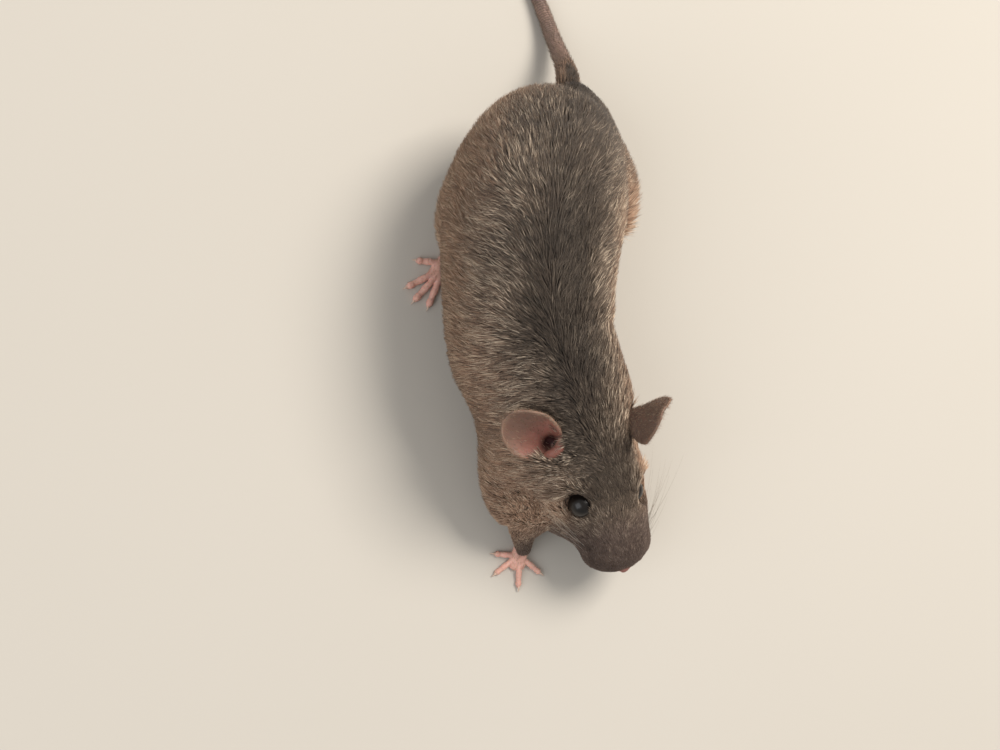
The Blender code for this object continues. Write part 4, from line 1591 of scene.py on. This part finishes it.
@dataclass
class CoatMap:
    """Where points lie on the body, and what the coat is like there; rows start with a row position."""

    points: Array
    # How far the hair turns outwards over the right and the left side.
    sweep: Rows = ((0, 0.10, 0.10), (5, 0.25, 0.25), (7, 0.50, 0.35), (9, 1.5, 0.6), (11, 2.6, 0.8),
                   (13, 2.3, 0.8), (15, 1.6, 0.6), (17, 0.85, 0.4), (19, 0.20, 0.15), (21, 0.0, 0.0))
    # The length and width of a tuft.
    sizes: Rows = ((0, 0.50, 0.08), (1, 0.70, 0.09), (3, 1.05, 0.10), (5, 1.6, 0.125), (7, 2.2, 0.14),
                   (9, 2.6, 0.15), (11, 3.2, 0.165), (14, 3.6, 0.17), (18, 3.6, 0.17), (20, 2.6, 0.16),
                   (21, 1.4, 0.13))
    # The dark band's middle in degrees from the spine, below 0 towards the mouse's right; its half width in
    # degrees; and its strength.
    band_middle: Rows = ((0, 0), (7, -4), (9.5, -5), (11.5, 9), (14, 7), (17, 6), (21, 3))
    band_width: Rows = ((5, 34), (8, 26), (11, 25), (14, 23), (17, 23), (19, 28), (21, 60))
    band_strength: Rows = ((5, 0.85), (7, 0.85), (9, 0.72), (11, 1), (15, 1), (17.5, 0.55), (19.3, 0.55),
                           (20.4, 1))
    # How much one hair differs from the next: much on the flanks, little on the face and the rump's end.
    variety: Rows = ((0, 0.35), (4, 0.65), (7, 0.90), (9, 1.05), (11, 1.15), (16, 1.15), (19, 0.9),
                     (21, 0.4))

    def __post_init__(self) -> None:
        """Finds each point's row position and its angle round the axis: 0 on the right, pi/2 on top."""
        stations, rows = BODY.axis()
        index = nearest_station(self.points, rows[:, :3])
        along, left, up = ring_axes(steady(rows[:, :3]))
        self.station = stations[index]
        self.along, self.left, self.up = along[index], left[index], up[index]
        away = self.points - rows[index, :3]
        self.angle = turn_round(away, self.up, self.left)
        self.length_done = lengths_along(rows[:, :3])[index]

    def masks(self) -> dict[str, Array]:
        """The coat's markings at each point.

        Returns:
            Masks from 0 to 1: the dark band down the back, the pale flanks and cheeks, the muzzle.
        """
        z = self.points[:, 2]
        wander = Waves(5.0, 14.0, 16, 3).value(self.points)
        turn = (np.degrees(self.angle) + 90.0) % 360.0 - 180.0
        back, left, up = HEAD.measures(self.points)
        wide = read_off(self.band_width, self.station)
        off = np.abs(turn - read_off(self.band_middle, self.station) - 4.0 * wander)
        dorsal = (1.0 - ramp(off, 0.35 * wide, 1.75 * wide)) * ramp(self.station, 3.5, 6.5)
        dorsal *= read_off(self.band_strength, self.station)
        dorsal = np.maximum(dorsal, 0.40 * ramp(self.station, 19.8, 20.8))
        pale = ramp(off, 30.0, 84.0) * ramp(self.station, 6.0, 9.0)
        pale = np.maximum(pale, 1.0 - ramp(z + 1.0 * wander, 6.0, 13.0))
        face = hill(back - 13.5, 7.0) * np.maximum(ramp(-left, 3.6, 7.0) * (1.0 - ramp(up, 1.0, 5.0)),
                                                   ramp(left, 2.2, 4.2) * (1.0 - ramp(up, 4.5, 7.0)))
        face = np.maximum(face, self.near(BEHIND_EAR))
        pale = np.clip(np.maximum(pale, face) + 0.05 * wander, 0.0, 1.0)
        muzzle = 1.0 - ramp(back + 0.2 * np.abs(up), 6.0, 11.0)
        dorsal = 0.95 * dorsal * (1.0 - 0.8 * face)
        return {"dorsal": dorsal, "pale": pale * (1 - 0.75 * muzzle), "muzzle": muzzle}

    def near(self, spot: tuple[float, ...]) -> Array:
        """How near points are to a spot's x, y and z, as a hill as wide as its spread."""
        return hill(np.linalg.norm(self.points - np.array(spot[:3]), axis=1), spot[3])

    def lie(self, normals: Array) -> Array:
        """The way the hair lies on the body.

        It runs from nose to tail and turns outwards down the sides: along + w c, where c points away from
        the spine, and w is the sweep times |x| / (0.22 + |x|) for the cosine x of the angle, less under the
        belly.

        Args:
            normals: outward directions at the points.

        Returns:
            Directions of length 1 in the skin's surface.
        """
        right, left = (read_off(self.sweep, self.station, k) for k in (1, 2))
        x, y = np.cos(self.angle), np.sin(self.angle)
        weight = np.where(x > 0, right, left) * np.abs(x) / (0.22 + np.abs(x)) * ramp(y, -1.2, -0.2)
        outward = np.sign(x)[:, None] * (y[:, None] * self.left - x[:, None] * self.up)
        way = self.along + weight[:, None] * outward
        return unit(way - dot(way, normals) * normals)


@dataclass
class Roots:
    """Where hairs grow: points in millimetres, outward directions, and the regions' numbers."""

    point: Array
    normal: Array
    region: Array

    def within(self, region: Region) -> Array:
        """Which roots are in a region."""
        return self.region == region.value


def scattered(skin: Skin, chance: Callable[[Array, Array], Array], count: int, seed: int) -> Roots:
    """Chooses where hairs grow on the skin.

    Triangles are drawn by area times density, and a point in one is a + u (b - a) + v (c - a), with u + v
    folded back under 1.

    Args:
        skin: the finished skin.
        chance: the density, from points and their regions' numbers.
        count: how many roots there are.
        seed: makes the choice the same in every run.

    Returns:
        The roots.
    """
    mesh = bpy.data.objects["skin"].data
    mesh.calc_loop_triangles()
    corners = numbers_of(mesh.loop_triangles, "vertices", 3)
    normals = vectors_of(mesh, "normal")
    a, b, c = (skin.places[corners[:, k]] for k in range(3))
    area = np.linalg.norm(np.cross(b - a, c - a), axis=1) / 2
    region = skin.regions[numbers_of(mesh.loop_triangles, "polygon_index")]
    rng = np.random.default_rng(seed)
    heap = np.cumsum(area * chance((a + b + c) / 3, region))
    picks = np.searchsorted(heap, (np.arange(count) + rng.random(count)) / count * heap[-1])
    picks = np.minimum(picks, len(corners) - 1)
    u, v = rng.random((2, count))
    folded = u + v > 1
    u, v = np.where(folded, 1 - u, u)[:, None], np.where(folded, 1 - v, v)[:, None]
    point = a[picks] + u * (b - a)[picks] + v * (c - a)[picks]
    n = [normals[corners[picks, k]] for k in range(3)]
    return Roots(point, unit(n[0] + u * (n[1] - n[0]) + v * (n[2] - n[0])), region[picks])


def laid_out(u: Array, v: Array, island: Array, cells: Rows) -> Array:
    """Puts each island of an unwrap into its own cell of the bake map.

    Args:
        u: distance along the part, in any unit.
        v: turn round it, in any unit.
        island: the number of the cell that each place belongs to.
        cells: left, bottom, right and top of each cell.

    Returns:
        Places on the map, every island stretched over its cell.
    """
    margin = 0.006
    spots = np.zeros((len(u), 2))
    for number, (left, bottom, right, top) in enumerate(cells):
        mine = island == number
        if mine.any():
            for axis, values, low, high in ((0, u[mine], left, right), (1, v[mine], bottom, top)):
                share = (values - values.min()) / max(float(np.ptp(values)), 1e-9)
                spots[mine, axis] = low + margin + share * (high - low - 2 * margin)
    return spots


def tuft_piece(name: str, points: Array, values: dict[str, Array], spots: Array,
               start: float = 0.0) -> Object:
    """One piece made of tufts.

    Args:
        name: the piece's name.
        points: seven points for each tuft.
        values: the markings and the tone of each tuft.
        spots: each tuft's place on the bake map.
        start: how far along a whole hair the visible part begins.

    Returns:
        The piece's object, with its markings and its bake map.
    """
    count = len(points)
    faces = (TuftShape.triangles[None] + 7 * np.arange(count)[:, None, None]).reshape(-1, 3)
    finish = bpy.data.materials.get("mouse_fur") or FurFinish().material()
    piece = new_piece(name, points.reshape(-1, 3), [faces], finish)
    mesh = piece.data
    for key, each in values.items():
        set_values(mesh, key, np.repeat(each, 7))
    set_values(mesh, "along", np.tile(start + (1.0 - start) * TuftShape.shares, count))
    corners = numbers_of(mesh.loops, "vertex_index")
    spots = spots[corners // 7] + TuftShape.patch[corners % 7]
    mesh.uv_layers.new(name="OFBake").data.foreach_set("uv", spots.astype(np.float32).ravel())
    return piece


@dataclass
class Coat:
    """The coat: closed tufts rooted all over the furred skin, in pieces of under 200,000 triangles."""

    skin: Skin
    tufts: int = 143000
    most: int = 19500
    seed: int = 11
    # How locks and single tufts turn from the lie, in degrees.
    lock_turn: float = 16.0
    hair_turn: float = 9.0
    # The middle tone, how it varies by hair and by lock, and the share and gain of pale guard hairs, partly
    # painted highlight.
    tone: float = 0.47
    hair_tone: float = 0.26
    lock_tone: float = 0.19
    guard_share: float = 0.10
    guard_and_highlight_gain: float = 0.35

    def __post_init__(self) -> None:
        """Chooses the roots, and finds where they lie on the body."""
        self.roots = scattered(self.skin, self.density, self.tufts, self.seed)
        self.map = CoatMap(self.roots.point)
        self.rng = np.random.default_rng(self.seed + 1)

    def density(self, points: Array, region: Array) -> Array:
        """How thickly tufts grow: most on the face, none on nose, eyes and bare parts.

        Args:
            points: places on the skin.
            region: the regions' numbers there.

        Returns:
            Densities, 1 on the trunk's sides.
        """
        coat = CoatMap(points)
        thick = np.interp(coat.station, (0, 3, 6, 9, 12, 21), (3.2, 2.6, 1.9, 1.25, 1.0, 1.0))
        thick *= 1.0 - 0.45 * ramp(-np.sin(coat.angle), 0.35, 0.8) * ramp(coat.station, 8, 12)
        thick *= 1.0 - ramp(BODY.nose(points)[0], 0.1, 0.5)
        for eye in BODY.eyes:
            away = points - eye.centre()
            aside = np.linalg.norm(away - (away @ eye.gaze())[:, None] * eye.gaze(), axis=1)
            gap = 0.15 * ramp(away @ HEAD.axes()[0], -1.2, 0.0)
            clear = ramp(aside, eye.opening + gap, eye.opening + 0.12 + 2.4 * gap)
            thick *= np.where(np.linalg.norm(away, axis=1) < 4.5, clear, 1)
        for ear in EARS:
            thick *= 1.0 - ramp(ear.cup(points)[0], 0.15, 0.5)
        furred = np.isin(region, [part.value for part in FURRED])
        leg = np.isin(region, [limb.region.value for limb in LEGS])
        grown = np.where(furred, thick, 0.0) * np.where(leg, 1.3 * ramp(points[:, 2], 0.9, 2.2), 1.0)
        tail = region == Region.TAIL.value
        grown[tail] = 1.1 * (1.0 - ramp(Tail().distance(points[tail]), 3.0, 9.0))
        return grown

    def lie(self) -> Trio:
        """The way each tuft lies and its size, with legs and tail following their own axes.

        Returns:
            Directions, lengths and widths.
        """
        roots, n = self.roots, self.roots.normal
        way = self.map.lie(n)
        length, width = (read_off(self.map.sizes, self.map.station, k) for k in (1, 2))
        for limb in LEGS:
            mine = roots.within(limb.region)
            axis = limb.table(80)[:, :3]
            index = nearest_station(roots.point[mine], axis)
            share = ramp(index / 79.0, 0.50, 0.85)[:, None]
            turned = unit(way[mine] * (1 - share) + unit(np.gradient(axis, axis=0))[index] * share)
            way[mine] = unit(turned - dot(turned, n[mine]) * n[mine])
            small = np.interp(index / 79.0, (0, 0.4, 0.75, 1.0), (1.0, 0.75, 0.38, 0.24))
            length[mine] *= small
            width[mine] *= np.interp(small, (0.24, 1.0), (0.6, 1.0))
        for ear in EARS:
            axis, _, front = ear.axes()
            before = np.linalg.norm(roots.point - ear.root() - 2.6 * front + 0.6 * axis, axis=1)
            length *= 1.0 - 0.60 * hill(before, 2.9)
        tail = roots.within(Region.TAIL)
        centres, _ = Tail().axis(600)
        along = unit(np.gradient(centres, axis=0))[nearest_station(roots.point[tail], centres)]
        way[tail] = unit(along - dot(along, n[tail]) * n[tail])
        length[tail] = np.interp(Tail().distance(roots.point[tail]), (0.0, 8.0), (2.2, 0.9))
        return way, length, width

    def unwrapped(self) -> Trio:
        """The skin's unwrap at the roots.

        Returns:
            Distance along each part, turn round it in degrees, and the part's number: 0 for the body, then
            legs and tail.
        """
        roots = self.roots
        along = self.map.length_done.copy()
        turn = (np.degrees(self.map.angle) + 90.0) % 360.0 - 180.0
        island = np.zeros(len(along), int)
        parts = [(limb.region, limb.table(80)[:, :3]) for limb in LIMBS]
        for number, (region, axis) in enumerate([*parts, (Region.TAIL, Tail().axis(200)[0])], 1):
            mine = roots.within(region)
            index = nearest_station(roots.point[mine], axis)
            _, left, up = ring_axes(axis)
            turn[mine] = np.degrees(turn_round(roots.point[mine] - axis[index], left[index], up[index]))
            along[mine] = index
            island[mine] = number
        return along, turn, island

    def shape(self) -> "TuftShape":
        """How each tuft stands: its lie, turned by locks and by chance, its size and its lift.

        The lift is (coat's depth - what the body bends away under the tuft) over 0.81 of the length, and not
        under a least lift. It grows in the cheek's dip and round the eyes.

        Returns:
            The tufts' shape.
        """
        way, length, width = self.lie()
        point, normal, count = self.roots.point, self.roots.normal, self.tufts
        aside = np.cross(normal, way)
        swirl = radians(self.lock_turn) * Waves(5.0, 11.0, 18, 5).value(point)
        swirl = swirl + self.rng.normal(0, radians(self.hair_turn), count)
        way = np.cos(swirl)[:, None] * way + np.sin(swirl)[:, None] * aside
        length = length * self.rng.uniform(0.72, 1.18, count)
        width = width * self.rng.uniform(0.75, 1.2, count)
        bend = 0.4 * length**2 / np.interp(self.map.station, (0, 6, 11), (4.0, 8.0, 16.0))
        least = np.interp(self.map.station, (0, 5, 9), (0.30, 0.20, 0.09))
        lift = np.clip((BODY.depth_at(self.map.station) - bend) / (0.81 * length), least, 0.55)
        lift = lift * self.rng.uniform(0.65, 1.35, count) + 0.30 * self.map.near(CHEEK_DIP)
        for eye in BODY.eyes:
            lift += 0.30 * hill(np.linalg.norm(point - eye.centre(), axis=1) - 3.0, 0.9)
        clump = Waves(1.1, 2.8, 40, 8).slope(point)
        clump -= dot(clump, normal) * normal
        clump *= (0.16 * length)[:, None] / np.maximum(np.linalg.norm(clump, axis=1, keepdims=True), 1.0)
        return TuftShape(point, normal, way, length, width, lift, clump)

    def tones(self, dorsal: Array) -> Array:
        """How light each tuft is: varied by hair and by lock, with guard hairs and spots;
        the guard hairs are partly painted highlight, and the spots by the ears' bases painted shade.

        Args:
            dorsal: the dark band's mask at the roots.

        Returns:
            Tones from 0 to 1.
        """
        varied = self.hair_tone * self.rng.normal(size=self.tufts)
        varied = varied + self.lock_tone * Waves(1.0, 2.6, 40, 9).value(self.roots.point)
        # Pale guard hairs, lighter partly by their own colour and partly as painted highlight.
        guard = np.where(self.rng.random(self.tufts) < self.guard_share, self.guard_and_highlight_gain, 0.0)
        lively = read_off(self.map.variety, self.map.station) * (1.0 - 0.55 * dorsal)
        # Lighter or darker spots; the darker ones by the ears' bases are painted shade.
        spots = sum(spot[4] * self.map.near(spot) for spot in HAIR_TONE_AND_SHADE_SPOTS)
        return np.clip(self.tone + lively * (varied + guard) + spots, 0.0, 1.0)

    def build(self) -> None:
        """Grows the coat and parts it into pieces."""
        shape, masks = self.shape(), self.map.masks()
        values = {**masks, "tone": self.tones(masks["dorsal"])}
        along, turn, island = self.unwrapped()
        cells = ((0.0, 0.0, 1.0, 0.78), *((k / 7, 0.8, (k + 1) / 7, 1.0) for k in range(7)))
        for name, mine in self.pieces().items():
            spots = laid_out(along[mine], turn[mine], island[mine], cells)
            tuft_piece(name, shape.points(mine), {key: each[mine] for key, each in values.items()}, spots)

    def pieces(self) -> dict[str, Array]:
        """Parts the tufts along the body, right and left apart, into pieces under the most tufts.

        Returns:
            Numbers of the tufts, by the piece's name.
        """
        found = {}
        right = np.cos(self.map.angle) > 0
        for side, mask in (("right", right), ("left", ~right)):
            index = np.flatnonzero(mask)
            index = index[np.argsort(self.map.station[index], kind="stable")]
            for number, part in enumerate(np.array_split(index, -(-len(index) // self.most)), 1):
                found[f"coat_{side}_{number}"] = part
        return found


@dataclass
class TuftShape:
    """Tufts as closed spikes of seven points: three round the root, three round the middle, and a tip."""

    root: Array
    normal: Array
    way: Array
    length: Array
    width: Array
    lift: Array
    clump: Array
    sunk: float = 0.12

    # A tuft's faces, how far along it each point is, and where the points lie on its patch of the bake map.
    triangles: ClassVar[Array] = np.array((
        (0, 2, 1), (0, 1, 4), (0, 4, 3), (1, 2, 5), (1, 5, 4), (2, 0, 3), (2, 3, 5), (3, 4, 6), (4, 5, 6),
        (5, 3, 6)))
    shares: ClassVar[Array] = np.array((0.0, 0.0, 0.0, 0.5, 0.5, 0.5, 1.0))
    patch: ClassVar[Array] = 0.0003 * np.array((
        (-5, -5), (5, -5), (0, -4), (-4, 0), (4, 0), (0, 1), (0, 5)))

    def points(self, mine: Array) -> Array:
        """The seven points of each of these tufts.

        The axis leaves the skin at 1.25 of the lift, in radians, bends down to 0.45 of it at the middle, and
        leans towards the nearest crest of the clumping field.

        Args:
            mine: numbers of the tufts.

        Returns:
            An array of tufts by seven points.
        """
        n, w = self.normal[mine], self.way[mine]
        s = np.cross(n, w)
        length, width, lift = self.length[mine, None], self.width[mine, None], self.lift[mine, None]
        base = self.root[mine] - self.sunk * np.minimum(1.0, 0.35 + 0.27 * length) * n
        rising, leaning = (np.cos(turn * lift) * w + np.sin(turn * lift) * n for turn in (1.25, 0.45))
        middle = base + 0.45 * length * rising + 0.3 * self.clump[mine]
        tip = middle + 0.55 * length * leaning + 0.9 * self.clump[mine]
        ring = [(-0.5 * s, 0.0), (0.5 * s, 0.0), (0.0 * s, 0.55)]
        lower = [base + width * (a + b * n) for a, b in ring]
        upper = [middle + 0.85 * width * (a + b * n) for a, b in ring]
        tufts = np.stack((*lower, *upper, tip), axis=1)
        tufts[..., 2] = np.maximum(tufts[..., 2], FLOOR_GAP)
        return tufts


@dataclass(frozen=True)
class Down:
    """Fine short hairs on one of the bare parts, lying along the ear, the tail or the paw."""

    name: str
    regions: tuple[Region, ...]
    count: int
    length: float
    width: float
    # Shares of the coat's pale and dorsal markings, and the middle tone.
    pale: float
    dorsal: float
    tone: float

    def chance(self, points: Array, region: Array) -> Array:
        """Even density on this kind's regions, but a fifth of it inside the ear.

        Args:
            points: places on the skin.
            region: the regions' numbers there.

        Returns:
            Densities from 0 to 1.
        """
        mine = np.isin(region, [part.value for part in self.regions]) & (points[:, 2] > 0.5)
        ear = ear_masks(points[mine])
        grown = mine.astype(float)
        grown[mine] = 1.0 - 0.8 * ear["ear_front"] * (1.0 - ear["ear_rim_and_highlight"])
        return grown

    def ways(self, points: Array) -> tuple[Array, Array, Array, Array]:
        """The way hairs lie, and their places on the part's unwrap.

        Args:
            points: roots of the hairs.

        Returns:
            Directions, distance along the part, place across or turn round it, and its island's number.
        """
        if Region.TAIL in self.regions:
            centres, _ = Tail().axis(600)
            index = nearest_station(points, centres)
            along, left, up = ring_axes(centres)
            turn = turn_round(points - centres[index], left[index], up[index])
            return along[index], index.astype(float), turn, np.zeros(len(points), int)
        if Region.PAW in self.regions:
            aims = np.radians([paw.aim for paw in PAWS])
            ahead = np.stack((np.sin(aims), -np.cos(aims), 0 * aims), -1)
            heels = np.array([(*paw.root, 0.0) for paw in PAWS])
            heels = heels + 0.5 * ahead * [[paw.sole] for paw in PAWS]
            nearest = nearest_station(points, heels)
            away, ahead = points - heels[nearest], ahead[nearest]
            return ahead, dot(away, ahead)[:, 0], np.cross(ahead, away)[:, 2], nearest
        way, along, across, island = (np.zeros((len(points), 3)), *np.zeros((2, len(points))),
                                      np.zeros(len(points), int))
        for number, ear in enumerate(EARS):
            mine = np.linalg.norm(points - ear.root(), axis=1) < 12.5
            way[mine] = ear.axes()[0]
            along[mine], across[mine], front = ear.found(points[mine])
            island[mine] = 2 * number + (front > 0)
        return way, along, across, island

    def build(self, skin: Skin) -> None:
        """Grows the hairs as one piece.

        Args:
            skin: the finished skin.
        """
        seed = 40 + self.regions[0].value
        roots = scattered(skin, self.chance, self.count, seed)
        points, normal = roots.point, roots.normal
        way, along, across, island = self.ways(points)
        rng = np.random.default_rng(seed + 1)
        way = unit(way - dot(way, normal) * normal + rng.normal(0, 0.22, way.shape))
        way = unit(way - dot(way, normal) * normal)
        length = self.length * rng.uniform(0.6, 1.25, self.count)
        if Region.TAIL in self.regions:
            length *= np.interp(Tail().distance(points), (2.0, 14.0), (1.7, 1.0))
        width = self.width * rng.uniform(0.8, 1.2, self.count)
        lift = rng.uniform(0.18, 0.50, self.count)
        shape = TuftShape(points, normal, way, length, width, lift, np.zeros_like(points), 0.02)
        still = np.ones(self.count)
        values = {"dorsal": self.dorsal * still, "pale": self.pale * still, "muzzle": 0 * still,
                  "tone": np.clip(self.tone + rng.normal(0, 0.15, self.count), 0, 1)}
        cells = tuple((k / 4, 0.0, (k + 1) / 4, 1.0) for k in range(4))
        spots = laid_out(along, across, island, cells)
        tuft_piece(self.name, shape.points(np.arange(self.count)), values, spots, 0.6)


DOWN = (
    Down("down_ears", (Region.EAR_LEFT, Region.EAR_RIGHT), 2600, 0.80, 0.045, 0.5, 0.1, 0.50),
    Down("down_tail", (Region.TAIL,), 3200, 0.90, 0.045, 0.3, 0.45, 0.45),
    Down("down_paws", (Region.PAW,), 900, 0.60, 0.045, 1.0, 0.0, 0.78),
)


@dataclass(frozen=True)
class Eyeballs:
    """The two eyes, as smooth balls with a slightly raised cornea."""

    rings: int = 40
    sides: int = 64

    def build(self) -> None:
        """Makes each eye of rings: radius r sin(a) at r cos(a) along the gaze, r a little more in front."""
        for eye in BODY.eyes:
            gaze = eye.gaze()
            left = unit(np.cross((0.0, 0.0, 1.0), gaze))
            up = np.cross(gaze, left)
            polar = np.linspace(0.04, pi - 0.04, self.rings)
            bulge = 1.0 + 0.02 * hill(polar, 0.7)
            centres = eye.centre() + (eye.radius * bulge * np.cos(polar))[:, None] * gaze
            wide = eye.radius * bulge * np.sin(polar)
            tile = np.ones((self.rings, 1))
            grid = oval(centres, tile * left, tile * up, wide, wide, wide, self.sides)
            shell = Shell.loft(grid, Region.BODY)
            finish = bpy.data.materials.get("mouse_eye") or EyeFinish().material()
            side = eye.side.name.lower()
            ball = new_piece(f"eyeball_{side}", shell.points, shell.faces, finish)
            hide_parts(f"eye_{side}")


@dataclass(frozen=True)
class Claws:
    """The claws: a small curved cone at the end of each toe."""

    length: float = 0.95
    radius: float = 0.17

    def build(self) -> None:
        """Makes all claws as one piece: rings that shrink along an arc bending down to the floor."""
        shells = []
        for paw in PAWS:
            for base, way, reach in paw.toe_ways():
                t = np.linspace(0.0, 1.0, 8)
                start = np.array((*(base + way * reach * 0.98), paw.toe_radius * 0.95))
                ahead = np.array((*way, 0.0))
                centres = (start + ahead * (self.length * np.sin(1.2 * t))[:, None]
                           + np.array((0, 0, 1.0)) * (0.10 * np.sin(pi * t) - 0.42 * t**2)[:, None])
                shells.append(Shell.rod(centres, self.radius * (1.0 - 0.92 * t), 8, Region.TOE))
        places, faces = gathered(shells)
        places[:, 2] = np.maximum(places[:, 2], FLOOR_GAP)
        horn = HornFinish("mouse_claw", (222, 196, 176), (176, 142, 122), 0.35)
        new_piece("claws", places, faces, horn.material())


@dataclass(frozen=True)
class Whiskers:
    """Whiskers in rows on both pads: thin tapered hairs that sweep out and back."""

    rows: int = 4
    columns: int = 5
    seed: int = 31
    # Lengths of the first and the last column, and the radius at the root.
    lengths: tuple[float, float] = (4.0, 11.0)
    radius: float = 0.032

    def hair(self, side: Side, row: int, column: int, rng: np.random.Generator) -> Shell:
        """One whisker: root + way length s - droop length s^2, thinning to a fifth.

        Args:
            side: which pad it grows on.
            row: its row, from the top.
            column: its place in the row, from the front.
            rng: the source of chance.

        Returns:
            The hair.
        """
        forward, leftward, upward = HEAD.axes()
        back = 2.3 + 0.72 * column + 0.15 * row
        up = 1.0 - 0.62 * row
        width = float(np.interp(back, (2.2, 4.0, 6.5), (4.0, 5.1, 5.6))) * 0.93
        root = HEAD.point(back, side.value * width * np.sqrt(max(1 - (up / 4.2) ** 2, 0.1)), up)
        length = np.interp(column, (0, self.columns - 1), self.lengths) * rng.uniform(0.8, 1.1)
        way = unit(side.value * leftward * 0.8 - forward * rng.uniform(0.6, 1.1)
                   + upward * (0.30 - 0.16 * row + rng.normal(0, 0.05)))
        droop = forward * 0.22 + np.array((0, 0, 0.10))
        s = np.linspace(0.0, 1.0, 12)[:, None]
        axis = root + way * length * s - droop * length * s**2
        axis[:, 2] = np.maximum(axis[:, 2], 0.3)
        return Shell.rod(axis, self.radius * (1.0 - 0.8 * s[:, 0]), 5, Region.BODY)

    def build(self) -> None:
        """Makes the whiskers as one piece."""
        rng = np.random.default_rng(self.seed)
        places, faces = gathered([self.hair(side, row, column, rng) for side in Side
                                  for row in range(self.rows) for column in range(self.columns)])
        horn = HornFinish("mouse_whisker", (196, 186, 172), (120, 110, 100), 0.45)
        new_piece("whiskers", places, faces, horn.material())


# ---- the studio


def placed(right: Array, up: Array, back: Array, place: Array) -> Matrix:
    """The matrix of a lamp or camera with these directions, at this place."""
    return Matrix([(*row, at) for row, at in zip(np.stack((right, up, back), -1), place)] + [(0, 0, 0, 1)])


@dataclass(frozen=True)
class Studio:
    """The floor, the lights and the camera."""

    # Degrees from the upright, the distance to a target on the mouse, and the lens before a 36 mm sensor.
    turn: float = 18.0
    tilt: float = 10.0
    distance: float = 207.0
    target: Triple = (0.0, 0.0, 13.0)
    lens: float = 50.004
    # How far the target lies to the right of the lens's axis and above it, as slopes.
    aside: float = 0.028798
    above: float = 0.039597

    def floor(self) -> None:
        """A wide pale floor under the paws."""
        corners = np.array(((-1, -1, 0), (1, -1, 0), (1, 1, 0), (-1, 1, 0)), float)
        mesh = make_mesh("floor", corners, [np.array(((0, 1, 2, 3),))])
        work = Dressing("pale_floor", 0.85)
        mesh.materials.append(work.coloured(work.mixed(work.noise(9.0), (188, 182, 172), (193, 187, 178))))
        new_object("floor", mesh)

    def camera(self) -> None:
        """A camera almost above the mouse, its axis beside it so that the frame keeps its margins."""
        back = unit(np.array((-tan(radians(self.turn)), -tan(radians(self.tilt)), 1.0)))
        up = unit(np.array((0.0, 1.0, 0.0)) - back[1] * back)
        right = np.cross(up, back)
        ray = -back + self.aside * right + self.above * up
        place = (np.array(self.target) - ray * self.distance + SHIFT) * MM
        lens = bpy.data.cameras.new("camera")
        lens.sensor_width = 36.0
        lens.lens = self.lens
        lens.clip_start, lens.clip_end = 0.005, 10.0
        camera = new_object("camera", lens)
        camera.matrix_world = placed(right, up, back, place)
        bpy.context.scene.camera = camera

    def lights(self) -> None:
        """A broad warm key from the upper right, a cool fill from the left, and an even pale surround."""
        for name, place, size, power, colour in (
            ("key", (0.32, 0.24, 0.55), 0.35, 5.6, (1.0, 0.95, 0.88)),
            ("fill", (-0.45, -0.25, 0.40), 0.50, 1.8, (0.93, 0.96, 1.0)),
        ):
            lamp = bpy.data.lights.new(name, "AREA")
            lamp.size, lamp.energy, lamp.color = size, power, colour
            light = new_object(name, lamp)
            back = unit(np.array(place) - np.array((0.0, 0.0, 0.012)))
            side = unit(np.cross((0.0, 0.0, 1.0), back))
            light.matrix_world = placed(side, np.cross(back, side), back, place)
        world = bpy.data.worlds.new("surround")
        world.use_nodes = True
        world.node_tree.nodes["Background"].inputs[0].default_value = (1.0, 0.98, 0.95, 1.0)
        world.node_tree.nodes["Background"].inputs[1].default_value = 0.45
        bpy.context.scene.world = world

    def build(self) -> None:
        """Sets up the whole studio."""
        self.floor()
        self.lights()
        self.camera()
        bpy.context.scene.view_settings.view_transform = "Standard"
        log.info("studio built")


def main() -> None:
    """Builds the mouse and its studio, piece by piece."""
    logging.basicConfig(level=logging.INFO, format="%(message)s")
    Studio().build()
    skin = Skin()
    skin.build()
    Eyeballs().build()
    Claws().build()
    Whiskers().build()
    Coat(skin).build()
    for kind in DOWN:
        kind.build(skin)


if __name__ == "__main__":
    main()
